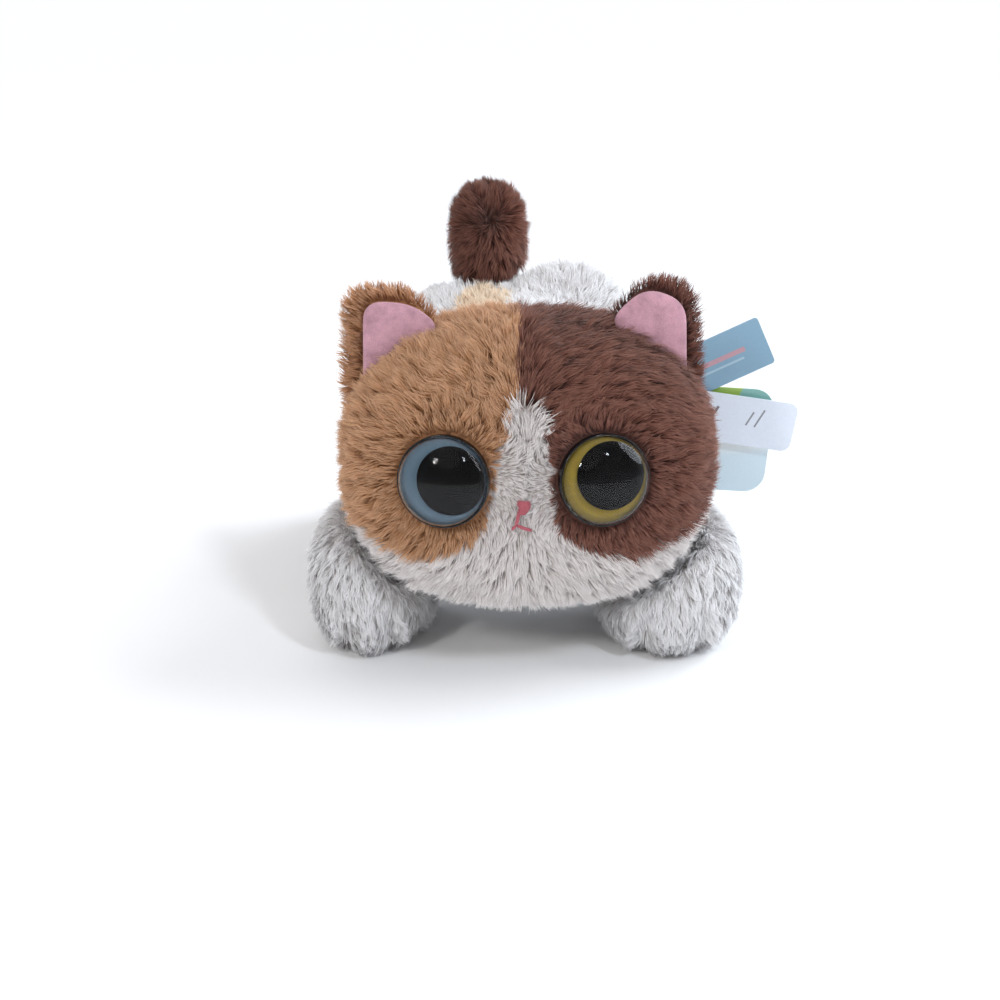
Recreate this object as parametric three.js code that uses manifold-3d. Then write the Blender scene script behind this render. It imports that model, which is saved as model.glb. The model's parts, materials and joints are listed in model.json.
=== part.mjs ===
// A walking plush kitten, in millimetres, +Z up, facing -Y.
// A hard plastic walking unit sits inside the soft body. Its motor turns a crankshaft, the cranks rock two
// link bars, and the link bars swing the legs. The head nods on a pin, and the tail wags on its own pin.
import * as THREE from 'three';
import { mergeVertices } from 'three/addons/utils/BufferGeometryUtils.js';
import Module from 'manifold-3d';

const wasm = await Module();
wasm.setup();

// ---- Driving dimensions ----
// The model is drawn about the middle of the four paws, then moved so that the origin is
// the bottom centre of the whole object's box, which the hang tags make wider on one side.
const ORIGIN_SHIFT = [-15.8, 0.7, 0];
const GAP = 0.3; // between pieces that touch
const RUNNING = 0.1; // radial clearance of a turning shaft in its hole

const CASING = { halfWidth: 22, front: -30, rear: 88, bottom: 26, split: 52, top: 80, wall: 2 };
const HEAD = { centre: [0, -52, 80], radii: [73, 54, 60], power: 2.5 };
const TORSO = { centre: [0, 38, 84], radii: [52, 70, 42], power: 2.3 };
const RUMP_RIGHT = { centre: [25, 68, 92], radii: [34, 38, 43], power: 2.1 };
const RUMP_LEFT = { centre: [-31, 66, 86], radii: [30, 38, 38], power: 2.1 };
const BELLY = { halfWidth: 33.5, front: -36, rear: 94, bottom: 27.5, top: 72 };
const LEG_POWER = 2.4;
const FRONT_LEFT_LEG = { centre: [-64.5, -44, 28], radii: [25, 34, 32], power: LEG_POWER };
const FRONT_RIGHT_LEG = { centre: [58, -48, 28], radii: [31, 35, 32], power: LEG_POWER };
const REAR_LEFT_LEG = { centre: [-58, 76, 29], radii: [23, 35, 34], power: LEG_POWER };
const REAR_RIGHT_LEG = { centre: [58, 76, 29], radii: [23, 35, 34], power: LEG_POWER };
const LEG_PIVOT_Z = 47;
const FRONT_PIVOT_Y = -22;
const REAR_PIVOT_Y = 74;
const LEG_SWING = THREE.MathUtils.degToRad(6);
const LEVER_ARM = 18; // from a leg's pivot up to its link pin
const TAIL = { x: -13, y: 82, pivotZ: 98, bottom: 118, top: 171, radius: 18 };
const WAG_DEGREES = 12;
const NECK = { y: -25, z: 88 };
const FACE_X = -3.3; // the face looks a little to one side
const EYE = { radius: 17, spread: 29.3, y: -100, z: 87.5, yaw: 13, pitch: 9 };
const CRANK = { y: 46.4, z: 62, throw: LEVER_ARM * Math.sin(LEG_SWING) };
const SHOULDER_Y = -37; // the head's lower half ends here, in front of the leg hubs
const NOD_ROOM = 7; // soft room that the nodding head leaves around the chest
const LEG_ROOM = 11; // soft room that a swinging leg leaves under the head
const SWING_ROOM = 7; // soft room that a swinging leg leaves before the belly

// ---- Materials ----
function shade(color, roughness, metalness = 0) {
  return new THREE.MeshStandardMaterial({ color, roughness, metalness });
}

const PALETTE = {
  whiteFur: () => shade(0xe3dfdc, 0.95),
  orangeFur: () => shade(0xc4905e, 0.95),
  brownFur: () => shade(0x633d33, 0.95),
  pinkVelvet: () => shade(0xd391a3, 0.9),
  pinkThread: () => shade(0xc05a62, 0.8),
  blackPlastic: () => shade(0x101012, 0.2),
  greyPlastic: () => shade(0x8d9296, 0.5),
  whitePlastic: () => shade(0xe6e4de, 0.45),
  blueIris: () => shade(0x7fa8ba, 0.3),
  oliveIris: () => shade(0xa89a2e, 0.3),
  clearLens: () => shade(0xf4f6f8, 0.05),
  gearPlastic: () => shade(0xd8d2c2, 0.4),
  steel: () => shade(0xb9bcc0, 0.3, 1),
  brass: () => shade(0xc2a35a, 0.35, 1),
  cellWrap: () => shade(0x2e6b50, 0.4),
  boardGreen: () => shade(0x2a6a45, 0.6),
  switchRed: () => shade(0xb8372f, 0.4),
  blueCard: () => shade(0x7aa3bd, 0.7),
  whiteCard: () => shade(0xf0f0ef, 0.7),
  paleCard: () => shade(0xb9d9dc, 0.7),
  tagString: () => shade(0xf2f2f2, 0.5),
};

// ---- Solid helpers ----
function toSolid(geometry) {
  const bare = geometry.index ? geometry.toNonIndexed() : geometry.clone();
  bare.deleteAttribute('normal');
  bare.deleteAttribute('uv');
  const merged = mergeVertices(bare, 1e-4);
  return new wasm.Manifold(new wasm.Mesh({
    numProp: 3,
    vertProperties: new Float32Array(merged.attributes.position.array),
    triVerts: new Uint32Array(merged.index.array),
  }));
}

function toGeometry(solid) {
  const mesh = solid.getMesh();
  const geometry = new THREE.BufferGeometry();
  geometry.setAttribute('position', new THREE.BufferAttribute(new Float32Array(mesh.vertProperties), 3));
  geometry.setIndex(new THREE.BufferAttribute(new Uint32Array(mesh.triVerts), 1));
  geometry.computeVertexNormals();
  return geometry;
}

function block(x, y, z) {
  const geometry = new THREE.BoxGeometry(x[1] - x[0], y[1] - y[0], z[1] - z[0]);
  geometry.translate((x[0] + x[1]) / 2, (y[0] + y[1]) / 2, (z[0] + z[1]) / 2);
  return toSolid(geometry);
}

// A soft superellipsoid, with grow added to every radius.
function pillow({ centre, radii, power }, grow = 0, columns = 20, rows = 12) {
  const geometry = new THREE.SphereGeometry(1, columns, rows);
  geometry.rotateX(Math.PI / 2);
  const position = geometry.attributes.position;
  const size = radii.map((radius) => radius + grow);
  for (let i = 0; i < position.count; i += 1) {
    const d = [position.getX(i), position.getY(i), position.getZ(i)];
    const reach = d.reduce((sum, value) => sum + Math.abs(value) ** power, 0) ** (-1 / power);
    position.setXYZ(i, ...d.map((value, k) => centre[k] + value * reach * size[k]));
  }
  return toSolid(geometry);
}

// A round bar whose axis runs along x, y or z from low to high, at the other two coordinates.
function bar(axis, low, high, at, radius, sides = 12) {
  const geometry = new THREE.CylinderGeometry(radius, radius, high - low, sides);
  const middle = (low + high) / 2;
  if (axis === 'x') {
    geometry.rotateZ(-Math.PI / 2);
    geometry.translate(middle, at[0], at[1]);
  } else if (axis === 'y') {
    geometry.translate(at[0], middle, at[1]);
  } else {
    geometry.rotateX(Math.PI / 2);
    geometry.translate(at[0], at[1], middle);
  }
  return toSolid(geometry);
}

// A flat outline drawn in its own plane and given a thickness along its own +Z.
function plateGeometry(shape, thickness, curveSegments = 8) {
  return new THREE.ExtrudeGeometry(shape, { depth: thickness, bevelEnabled: false, curveSegments });
}

// The same plate, with its outline in the YZ plane and its thickness along X from low.
function sidePlate(shape, low, thickness) {
  const geometry = plateGeometry(shape, thickness);
  const turn = new THREE.Matrix4().set(0, 0, 1, low, 1, 0, 0, 0, 0, 1, 0, 0, 0, 0, 0, 1);
  geometry.applyMatrix4(turn);
  return toSolid(geometry);
}

function roundedRectangle(x0, x1, y0, y1, radius) {
  const shape = new THREE.Shape();
  shape.absarc(x1 - radius, y0 + radius, radius, -Math.PI / 2, 0);
  shape.absarc(x1 - radius, y1 - radius, radius, 0, Math.PI / 2);
  shape.absarc(x0 + radius, y1 - radius, radius, Math.PI / 2, Math.PI);
  shape.absarc(x0 + radius, y0 + radius, radius, Math.PI, 1.5 * Math.PI);
  shape.closePath();
  return shape;
}

// A box standing on z[0] with its four upright edges rounded.
function roundedBlock(x, y, z, radius) {
  const geometry = plateGeometry(roundedRectangle(x[0], x[1], y[0], y[1], radius), z[1] - z[0], 4);
  geometry.translate(0, 0, z[0]);
  return toSolid(geometry);
}

const joined = (...solids) => solids.reduce((sum, solid) => sum.add(solid));
const cut = (solid, ...tools) => tools.reduce((left, tool) => left.subtract(tool), solid);
const mirrored = (range, side) => (side > 0 ? range : [-range[1], -range[0]]);

// A spur gear outline about its own centre, with one tooth centred on angle start.
function gearShape(teeth, module, start) {
  const pitch = (teeth * module) / 2;
  const root = pitch - 1.15 * module;
  const tip = pitch + 0.8 * module;
  const step = (2 * Math.PI) / teeth;
  const flank = [[root, -0.3], [tip, -0.11], [tip, 0.11], [root, 0.3]];
  const points = [];
  for (let tooth = 0; tooth < teeth; tooth += 1) {
    for (const [radius, offset] of flank) {
      const angle = start + (tooth + offset) * step;
      points.push(new THREE.Vector2(radius * Math.cos(angle), radius * Math.sin(angle)));
    }
  }
  return new THREE.Shape(points);
}

// A gear on an X axis at (y, z), from x = low, with a round bore.
function gear({ teeth, module, start, y, z, low, width, bore }) {
  const blank = sidePlate(gearShape(teeth, module, start), low, width).translate(0, y, z);
  return bore ? cut(blank, bar('x', low - 1, low + width + 1, [y, z], bore)) : blank;
}

// ---- Assembly ----
const kitten = new THREE.Group();
kitten.position.set(...ORIGIN_SHIFT);

function addPiece(name, solid, material, parent = kitten) {
  const mesh = new THREE.Mesh(toGeometry(solid), material);
  mesh.name = name;
  parent.add(mesh);
  return mesh;
}

const SIDES = [['left', -1], ['right', 1]];
const LEGS = [
  { name: 'front_left', side: -1, shape: FRONT_LEFT_LEG, pivotY: FRONT_PIVOT_Y, front: true },
  { name: 'front_right', side: 1, shape: FRONT_RIGHT_LEG, pivotY: FRONT_PIVOT_Y, front: true },
  { name: 'rear_left', side: -1, shape: REAR_LEFT_LEG, pivotY: REAR_PIVOT_Y, front: false },
  { name: 'rear_right', side: 1, shape: REAR_RIGHT_LEG, pivotY: REAR_PIVOT_Y, front: false },
];

// ---- Casing of the walking unit ----
const SCREW = { x: 16, y: -14, headRadius: 2.8, headHeight: 1.6, holeRadius: 1.6, depth: 22 };
const SCREW_SLOT = { halfLength: 2, halfWidth: 0.4, depth: 0.6 };
const AXLE_RADIUS = 2.5;
const CRANKSHAFT_RADIUS = 2;
const REDUCTION = { y: 27.2, z: 62 };
const REDUCTION_AXLE_RADIUS = 1.5;
const NECK_PIN_RADIUS = 1.5;
const TAIL_PIN_RADIUS = 1.5;
const BUTTON = { x: 0, y: -8, radius: 6 };
const BAY = { halfWidth: 17, front: 28, rear: 84 };
const SPEAKER = { y: -6, radius: 11, magnetRadius: 5.5, slots: [-8, -4, 0, 4, 8], slotHalfWidth: 0.8 };
const SWITCH = { y: 16, halfX: 4, halfY: 7 };

function casingShell(low, high, opensUp) {
  const { halfWidth, front, rear, wall } = CASING;
  const outer = roundedBlock([-halfWidth, halfWidth], [front, rear], [low, high], 5);
  const inner = roundedBlock(
    [-halfWidth + wall, halfWidth - wall],
    [front + wall, rear - wall],
    opensUp ? [low + wall, high + 1] : [low - 1, high - wall],
    3,
  );
  return cut(outer, inner);
}

function buildCasing() {
  const { halfWidth, bottom, split, top, wall } = CASING;
  const across = [-halfWidth - 1, halfWidth + 1];
  const floor = [bottom - 1, bottom + wall + 1];
  const grille = SPEAKER.slots.map((x) => {
    const reach = Math.sqrt(SPEAKER.radius ** 2 - x ** 2) - 1.5;
    const across = [x - SPEAKER.slotHalfWidth, x + SPEAKER.slotHalfWidth];
    return block(across, [SPEAKER.y - reach, SPEAKER.y + reach], floor);
  });
  const lower = cut(
    casingShell(bottom, split - GAP, true),
    bar('x', ...across, [FRONT_PIVOT_Y, LEG_PIVOT_Z], AXLE_RADIUS + RUNNING),
    bar('x', ...across, [REAR_PIVOT_Y, LEG_PIVOT_Z], AXLE_RADIUS + RUNNING),
    block([-BAY.halfWidth, BAY.halfWidth], [BAY.front + 2, BAY.rear - 2], floor),
    block([-2, 2], [SWITCH.y - 4, SWITCH.y + 4], floor),
    ...grille,
    ...[-1, 1].map((side) => bar('z', ...floor, [side * SCREW.x, SCREW.y], SCREW.holeRadius)),
  );
  addPiece('casing_bottom', lower, PALETTE.greyPlastic());

  const posts = [-1, 1].map((side) =>
    bar('z', bottom + wall + GAP, top - 1, [side * SCREW.x, SCREW.y], 3));
  const neckEars = [-9.5, 9.5].map((x) =>
    block([x - 1.5, x + 1.5], [NECK.y - 4.5, NECK.y + 4.5], [top - 1, NECK.z + 4.5]));
  const tailEars = [-6, 6].map((offset) => {
    const y = TAIL.y + offset;
    return block([TAIL.x - 4, TAIL.x + 4], [y - 1.5, y + 1.5], [top - 1, TAIL.pivotZ + 4]);
  });
  const upper = cut(
    joined(casingShell(split, top, false), ...posts, ...neckEars, ...tailEars),
    ...[-1, 1].map((side) => bar('z', bottom, bottom + SCREW.depth, [side * SCREW.x, SCREW.y], 1.3, 10)),
    bar('x', ...across, [REDUCTION.y, REDUCTION.z], REDUCTION_AXLE_RADIUS + RUNNING),
    bar('x', ...across, [CRANK.y, CRANK.z], CRANKSHAFT_RADIUS + RUNNING),
    bar('x', -12, 12, [NECK.y, NECK.z], NECK_PIN_RADIUS + RUNNING),
    bar('y', TAIL.y - 9, TAIL.y + 9, [TAIL.x, TAIL.pivotZ], TAIL_PIN_RADIUS + RUNNING),
    bar('z', top - wall - 1, top + 1, [BUTTON.x, BUTTON.y], BUTTON.radius + GAP, 14),
  );
  addPiece('casing_top', upper, PALETTE.greyPlastic());

  [-1, 1].forEach((side, index) => {
    addPiece(`casing_screw_${index + 1}`, screw(side * SCREW.x, SCREW.y, 18, 1), PALETTE.steel());
  });
}

// A slotted screw driven up into the floor of the casing, with its head just under the floor.
function screw(x, y, length, radius) {
  const seat = CASING.bottom - GAP;
  const { halfLength, halfWidth, depth } = SCREW_SLOT;
  const head = bar('z', seat - SCREW.headHeight, seat, [x, y], SCREW.headRadius, 12);
  const shank = bar('z', seat - 0.5, CASING.bottom + length, [x, y], radius, 10);
  const low = seat - SCREW.headHeight;
  const acrossSlot = [y - halfWidth, y + halfWidth];
  const slot = block([x - halfLength, x + halfLength], acrossSlot, [low - 1, low + depth]);
  return cut(joined(head, shank), slot);
}

// ---- Battery bay, sound and switches ----
const CELL = { radius: 7.25, length: 50.5, x: 8, z: 36.3, front: 31, nubRadius: 2.7, nubLength: 1.2 };
const BOARD = { x: [-12.4, 12.4], y: [-26, 12], z: [72.2, 73.8] };

function buildPower() {
  const { bottom, wall } = CASING;
  const lid = roundedBlock(
    [-BAY.halfWidth + GAP, BAY.halfWidth - GAP],
    [BAY.front + 2 + GAP, BAY.rear - 2 - GAP],
    [bottom, bottom + wall],
    2,
  );
  const screwY = BAY.rear - 7;
  const screwHole = bar('z', bottom - 1, bottom + wall + 1, [0, screwY], SCREW.holeRadius);
  addPiece('battery_door', cut(lid, screwHole), PALETTE.greyPlastic());
  addPiece('battery_door_screw', screw(0, screwY, wall + 1.2, 1.2), PALETTE.steel());

  [-1, 1].forEach((side, index) => {
    const nubEnd = CELL.front + CELL.length;
    const cell = joined(
      bar('y', CELL.front, nubEnd - CELL.nubLength, [side * CELL.x, CELL.z], CELL.radius, 14),
      bar('y', nubEnd - 2, nubEnd, [side * CELL.x, CELL.z], CELL.nubRadius, 10),
    );
    addPiece(`battery_cell_${index + 1}`, cell, PALETTE.cellWrap());
  });
  const contact = block([-14, 14], [CELL.front - 1.1, CELL.front - GAP], [CELL.z - 6.3, CELL.z + 5.7]);
  addPiece('battery_contact', contact, PALETTE.brass());

  addPiece('circuit_board', roundedBlock(BOARD.x, BOARD.y, BOARD.z, 1.5), PALETTE.boardGreen());
  const speakerZ = bottom + wall + GAP;
  const speaker = joined(
    bar('z', speakerZ, speakerZ + 3, [0, SPEAKER.y], SPEAKER.radius, 16),
    bar('z', speakerZ + 2, speakerZ + 7, [0, SPEAKER.y], SPEAKER.magnetRadius, 12),
  );
  addPiece('speaker', speaker, PALETTE.blackPlastic());
  const switchBody = block(
    [-SWITCH.halfX, SWITCH.halfX],
    [SWITCH.y - SWITCH.halfY, SWITCH.y + SWITCH.halfY],
    [speakerZ, speakerZ + 5],
  );
  const switchSlot = block([-1.9, 1.9], [SWITCH.y - 3.8, SWITCH.y + 3.8], [speakerZ - 1, speakerZ + 3]);
  addPiece('power_switch', cut(switchBody, switchSlot), PALETTE.blackPlastic());
  addPiece(
    'power_switch_knob',
    block([-1.5, 1.5], [SWITCH.y - 3.4, SWITCH.y - 0.4], [bottom - 1.5, speakerZ + 2.4]),
    PALETTE.switchRed(),
  );
  const button = joined(
    bar('z', CASING.top - wall - GAP - 1.2, CASING.top - wall - GAP, [BUTTON.x, BUTTON.y], 8, 14),
    bar('z', CASING.top - wall - 0.8, CASING.top + 5, [BUTTON.x, BUTTON.y], BUTTON.radius, 14),
  );
  addPiece('touch_button', button, PALETTE.switchRed());
}

// ---- Drive train ----
const MOTOR = { y: 8, z: 62 };
const BIG_TEETH = 28;
const SMALL_TEETH = 10;

function buildDrive() {
  const motor = joined(
    bar('x', -19.4, 2, [MOTOR.y, MOTOR.z], 9, 16),
    bar('x', 1, 13, [MOTOR.y, MOTOR.z], 1, 10),
  );
  addPiece('motor', motor, PALETTE.steel());
  addPiece('motor_pinion', gear({
    teeth: SMALL_TEETH, module: 1, start: 0, y: MOTOR.y, z: MOTOR.z, low: 5.6, width: 5, bore: 1 + RUNNING,
  }), PALETTE.brass());
  const bigStep = (2 * Math.PI) / BIG_TEETH;
  const meshing = Math.PI + bigStep / 2;
  const reduction = joined(
    gear({ teeth: BIG_TEETH, module: 1, start: meshing, y: REDUCTION.y, z: REDUCTION.z, low: 6, width: 4 }),
    gear({ teeth: SMALL_TEETH, module: 1, start: 0, y: REDUCTION.y, z: REDUCTION.z, low: 9.5, width: 6.5 }),
  );
  addPiece('reduction_gear', cut(
    reduction,
    bar('x', 0, 20, [REDUCTION.y, REDUCTION.z], REDUCTION_AXLE_RADIUS + RUNNING),
  ), PALETTE.gearPlastic());
  const reductionAxle = bar('x', -21.5, 21.5, [REDUCTION.y, REDUCTION.z], REDUCTION_AXLE_RADIUS);
  addPiece('reduction_axle', reductionAxle, PALETTE.steel());
  addPiece('drive_gear', gear({
    teeth: BIG_TEETH,
    module: 1,
    start: Math.PI + bigStep / 2,
    y: CRANK.y,
    z: CRANK.z,
    low: 11.2,
    width: 4,
    bore: CRANKSHAFT_RADIUS + RUNNING,
  }), PALETTE.gearPlastic());
  addPiece('crankshaft', bar('x', -25.2, 25.2, [CRANK.y, CRANK.z], CRANKSHAFT_RADIUS), PALETTE.steel());
}

const LINK_X = [27, 29];

function buildCranksAndLinks() {
  for (const [name, side] of SIDES) {
    const disc = bar('x', ...mirrored([22.4, 25], side), [CRANK.y, CRANK.z], 8, 16);
    const pin = bar('x', ...mirrored([24.5, 26.6], side), [CRANK.y, CRANK.z + side * CRANK.throw], 2, 14);
    const bore = bar('x', ...mirrored([22, 26], side), [CRANK.y, CRANK.z], CRANKSHAFT_RADIUS + RUNNING);
    addPiece(`crank_${name}`, cut(joined(disc, pin), bore), PALETTE.whitePlastic());

    const pinZ = LEG_PIVOT_Z + LEVER_ARM;
    const rail = block(mirrored(LINK_X, side), [FRONT_PIVOT_Y, REAR_PIVOT_Y], [pinZ - 2.2, pinZ + 2.2]);
    const yoke = block(mirrored(LINK_X, side), [CRANK.y - 6, CRANK.y + 6], [CRANK.z - 9, CRANK.z + 9]);
    const ends = [FRONT_PIVOT_Y, REAR_PIVOT_Y].map((y) =>
      bar('x', ...mirrored(LINK_X, side), [y, pinZ], 4.5, 12));
    const holes = [FRONT_PIVOT_Y, REAR_PIVOT_Y].map((y) =>
      bar('x', ...mirrored([26, 30], side), [y, pinZ], 2 + RUNNING));
    const slot = block(
      mirrored([26, 30], side),
      [CRANK.y - 2.3, CRANK.y + 2.3],
      [CRANK.z - 6.5, CRANK.z + 6.5],
    );
    addPiece(`link_${name}`, cut(joined(rail, yoke, ...ends), ...holes, slot), PALETTE.whitePlastic());
  }
  addPiece('front_axle', bar('x', -33.5, 33.5, [FRONT_PIVOT_Y, LEG_PIVOT_Z], AXLE_RADIUS), PALETTE.steel());
  addPiece('rear_axle', bar('x', -33.5, 33.5, [REAR_PIVOT_Y, LEG_PIVOT_Z], AXLE_RADIUS), PALETTE.steel());
}

// ---- Legs ----
// Each leg is a stiff core, which turns on its axle, inside a stuffed plush leg with a flat sole.
const HUB_RADIUS = 5;
const LEVER = { inner: 24, outer: 26.4, halfWidth: 3.5 };
const BONE = { inner: 41, outer: 45, halfWidth: 6 };
const FOOT = { bottom: 7, top: 10, halfLength: 15, halfWidth: 12 };
const SLEEVE = { outer: 56, halfLength: 9.5, bottom: 3, top: 55 };

function legCore({ side, shape, pivotY }, grow = 0) {
  const [x, y] = shape.centre;
  const lever = block(
    mirrored([LEVER.inner - grow, LEVER.outer + grow], side),
    [pivotY - LEVER.halfWidth - grow, pivotY + LEVER.halfWidth + grow],
    [LEG_PIVOT_Z, LEG_PIVOT_Z + LEVER_ARM + 3 + grow],
  );
  const pin = bar('x', ...mirrored([26, 29.6 + grow], side), [pivotY, LEG_PIVOT_Z + LEVER_ARM], 2 + grow);
  const hubLength = mirrored([LEVER.inner - grow, BONE.inner + grow], side);
  const hub = bar('x', ...hubLength, [pivotY, LEG_PIVOT_Z], HUB_RADIUS + grow);
  const bone = block(
    mirrored([BONE.inner - grow, BONE.outer + grow], side),
    [pivotY - BONE.halfWidth - grow, pivotY + BONE.halfWidth + grow],
    [FOOT.bottom + 2 - grow, LEG_PIVOT_Z + 4 + grow],
  );
  const instep = block(
    mirrored([BONE.inner - grow, Math.abs(x) + grow], side),
    [pivotY - BONE.halfWidth - grow, pivotY + BONE.halfWidth + grow],
    [FOOT.bottom - grow, FOOT.top + grow],
  );
  const foot = block(
    mirrored([Math.abs(x) - FOOT.halfWidth - grow, Math.abs(x) + FOOT.halfWidth + grow], side),
    [y - FOOT.halfLength - grow, Math.max(y + FOOT.halfLength, pivotY + BONE.halfWidth) + grow],
    [FOOT.bottom - grow, FOOT.top + grow],
  );
  const solid = joined(lever, pin, hub, bone, instep, foot);
  const axleHole = bar('x', ...mirrored([23, 34], side), [pivotY, LEG_PIVOT_Z], AXLE_RADIUS + RUNNING);
  return grow ? solid : cut(solid, axleHole);
}

function buildLegs() {
  const ground = block([-120, 120], [-150, 150], [-40, 0]);
  const bellyEdge = BELLY.halfWidth + 2.5;
  const bellyRoom = block([-bellyEdge, bellyEdge], [BELLY.front - SWING_ROOM, 120], [-10, 90]);
  const besideShoulders = block([-120, 120], [-26, 60], [-10, 78]);
  const headRoom = cut(pillow(HEAD, LEG_ROOM), besideShoulders);
  for (const leg of LEGS) {
    const sleeve = roundedBlock(
      mirrored([BELLY.halfWidth, SLEEVE.outer], leg.side),
      [leg.pivotY - SLEEVE.halfLength, leg.pivotY + SLEEVE.halfLength],
      [SLEEVE.bottom, SLEEVE.top],
      4,
    );
    const stuffing = leg.front ? joined(pillow(leg.shape, 0, 16, 12), sleeve) : pillow(leg.shape, 0, 16, 12);
    const cushion = cut(stuffing, ground, bellyRoom, legCore(leg, GAP));
    addPiece(`${leg.name}_leg_core`, legCore(leg), PALETTE.whitePlastic());
    addPiece(`${leg.name}_leg_plush`, leg.front ? cut(cushion, headRoom) : cushion, PALETTE.whiteFur());
  }
}

// ---- Body plush ----
function torsoEnvelope(grow = 0) {
  return joined(pillow(TORSO, grow), pillow(RUMP_RIGHT, grow, 18, 12), pillow(RUMP_LEFT, grow, 18, 12));
}

function buildBody() {
  const { halfWidth, front, rear, bottom, top } = BELLY;
  const legWells = SIDES.map(([, side]) => block(mirrored([halfWidth, 120], side), [-120, 160], [-10, 68]));
  const belly = roundedBlock([-halfWidth, halfWidth], [front, rear], [bottom, top], 8);
  const mechanismRoom = block([-31, 31], [front + 3, rear - 3], [0, CASING.top + 2]);
  const neckRoom = block([-13.5, 13.5], [-80, -15], [CASING.top, NECK.z + 11]);
  const buttonRoom = bar('z', CASING.top, CASING.top + 9, [BUTTON.x, BUTTON.y], BUTTON.radius + 2.5);
  const tailRoom = block([TAIL.x - 9, TAIL.x + 9], [TAIL.y - 9, TAIL.y + 9], [CASING.top, 160]);
  const hubHoles = [FRONT_PIVOT_Y, REAR_PIVOT_Y].map((y) =>
    bar('x', -45, 45, [y, LEG_PIVOT_Z], HUB_RADIUS + 1));
  const body = cut(
    joined(cut(torsoEnvelope(), ...legWells, block([-90, 90], [-90, 160], [-10, 40])), belly),
    mechanismRoom,
    neckRoom,
    buttonRoom,
    tailRoom,
    ...hubHoles,
  );
  addPiece('body_plush', body, PALETTE.whiteFur());
}

// ---- Head ----
const FRAME_PLATE = { x: [-24, 24], y: [-52, -48.6], z: [68, 108] };

function headFrame(grow = 0) {
  const plate = block(
    [FRAME_PLATE.x[0] - grow, FRAME_PLATE.x[1] + grow],
    [FRAME_PLATE.y[0] - grow, FRAME_PLATE.y[1] + grow],
    [FRAME_PLATE.z[0] - grow, FRAME_PLATE.z[1] + grow],
  );
  const arm = block(
    [-5 - grow, 5 + grow],
    [FRAME_PLATE.y[1] - 0.4, NECK.y],
    [NECK.z - 3.5 - grow, NECK.z + 3.5 + grow],
  );
  const hub = bar('x', -7.5 - grow, 7.5 + grow, [NECK.y, NECK.z], 4 + grow);
  const solid = joined(plate, arm, hub);
  return grow ? solid : cut(solid, bar('x', -9, 9, [NECK.y, NECK.z], NECK_PIN_RADIUS + RUNNING));
}

// The frame of one eye: its own +Z looks out of the face.
function eyePlacement(side) {
  const place = new THREE.Object3D();
  place.position.set(FACE_X + side * EYE.spread, EYE.y, EYE.z);
  place.rotation.order = 'ZXY';
  place.rotation.z = THREE.MathUtils.degToRad(side * EYE.yaw);
  place.rotation.x = THREE.MathUtils.degToRad(90 - EYE.pitch);
  place.updateMatrix();
  return place.matrix;
}

function turned(profile, placement, segments = 18) {
  const points = profile.map(([radius, height]) => new THREE.Vector2(radius, height));
  const geometry = new THREE.LatheGeometry(points, segments);
  geometry.rotateX(Math.PI / 2);
  geometry.applyMatrix4(placement);
  return toSolid(geometry);
}

const EYE_PIECES = {
  cupDepth: 3,
  stemRadius: 2.4,
  stemLength: 17,
  irisThickness: 1,
  domeHeight: 8.5,
};

function eyeCupProfile(grow = 0) {
  const { cupDepth, stemRadius, stemLength } = EYE_PIECES;
  const radius = EYE.radius + grow;
  const back = -cupDepth - grow;
  return [[0, -stemLength - grow], [stemRadius + grow, -stemLength - grow], [stemRadius + grow, back],
    [radius - 1.5, back], [radius, back + 1.5], [radius, grow ? 12 : 0], [0, grow ? 12 : 0]];
}

function domeProfile(radius, height, low, steps = 5) {
  const points = [[0, low], [radius, low]];
  for (let i = 0; i <= steps; i += 1) {
    const angle = (i / steps) * (Math.PI / 2);
    points.push([radius * Math.cos(angle), low + 0.8 + height * Math.sin(angle)]);
  }
  points[points.length - 1][0] = 0;
  return points;
}

function washerProfile(grow = 0) {
  const low = -EYE_PIECES.stemLength + 2 - grow;
  const inner = grow ? 0 : EYE_PIECES.stemRadius + RUNNING;
  const rim = [[inner, low], [8 + grow, low], [8 + grow, low + 2 + 2 * grow], [inner, low + 2 + 2 * grow]];
  return grow ? rim : [...rim, rim[0]];
}

function buildEyes() {
  const { irisThickness, domeHeight } = EYE_PIECES;
  const irisColours = { left: PALETTE.blueIris, right: PALETTE.oliveIris };
  for (const [name, side] of SIDES) {
    const placement = eyePlacement(side);
    addPiece(`${name}_eye_cup`, turned(eyeCupProfile(), placement), PALETTE.blackPlastic());
    const irisLow = GAP;
    const irisTop = irisLow + irisThickness;
    addPiece(
      `${name}_iris`,
      turned([[0, irisLow], [EYE.radius - 1, irisLow], [EYE.radius - 1, irisTop], [0, irisTop]], placement),
      irisColours[name](),
    );
    const gaze = new THREE.Matrix4().makeTranslation(1.6, 1.2, irisTop + GAP);
    const pupilPlace = placement.clone().multiply(gaze);
    addPiece(
      `${name}_pupil`,
      turned([[0, 0], [12.6, 0], [12.6, 0.5], [0, 0.5]], pupilPlace),
      PALETTE.blackPlastic(),
    );
    const lens = turned(domeProfile(EYE.radius - 0.4, domeHeight, irisTop + 0.5 + 2 * GAP), placement);
    addPiece(`${name}_eye_lens`, lens, PALETTE.clearLens());
    addPiece(`${name}_eye_washer`, turned(washerProfile(), placement), PALETTE.whitePlastic());
  }
}

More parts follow.
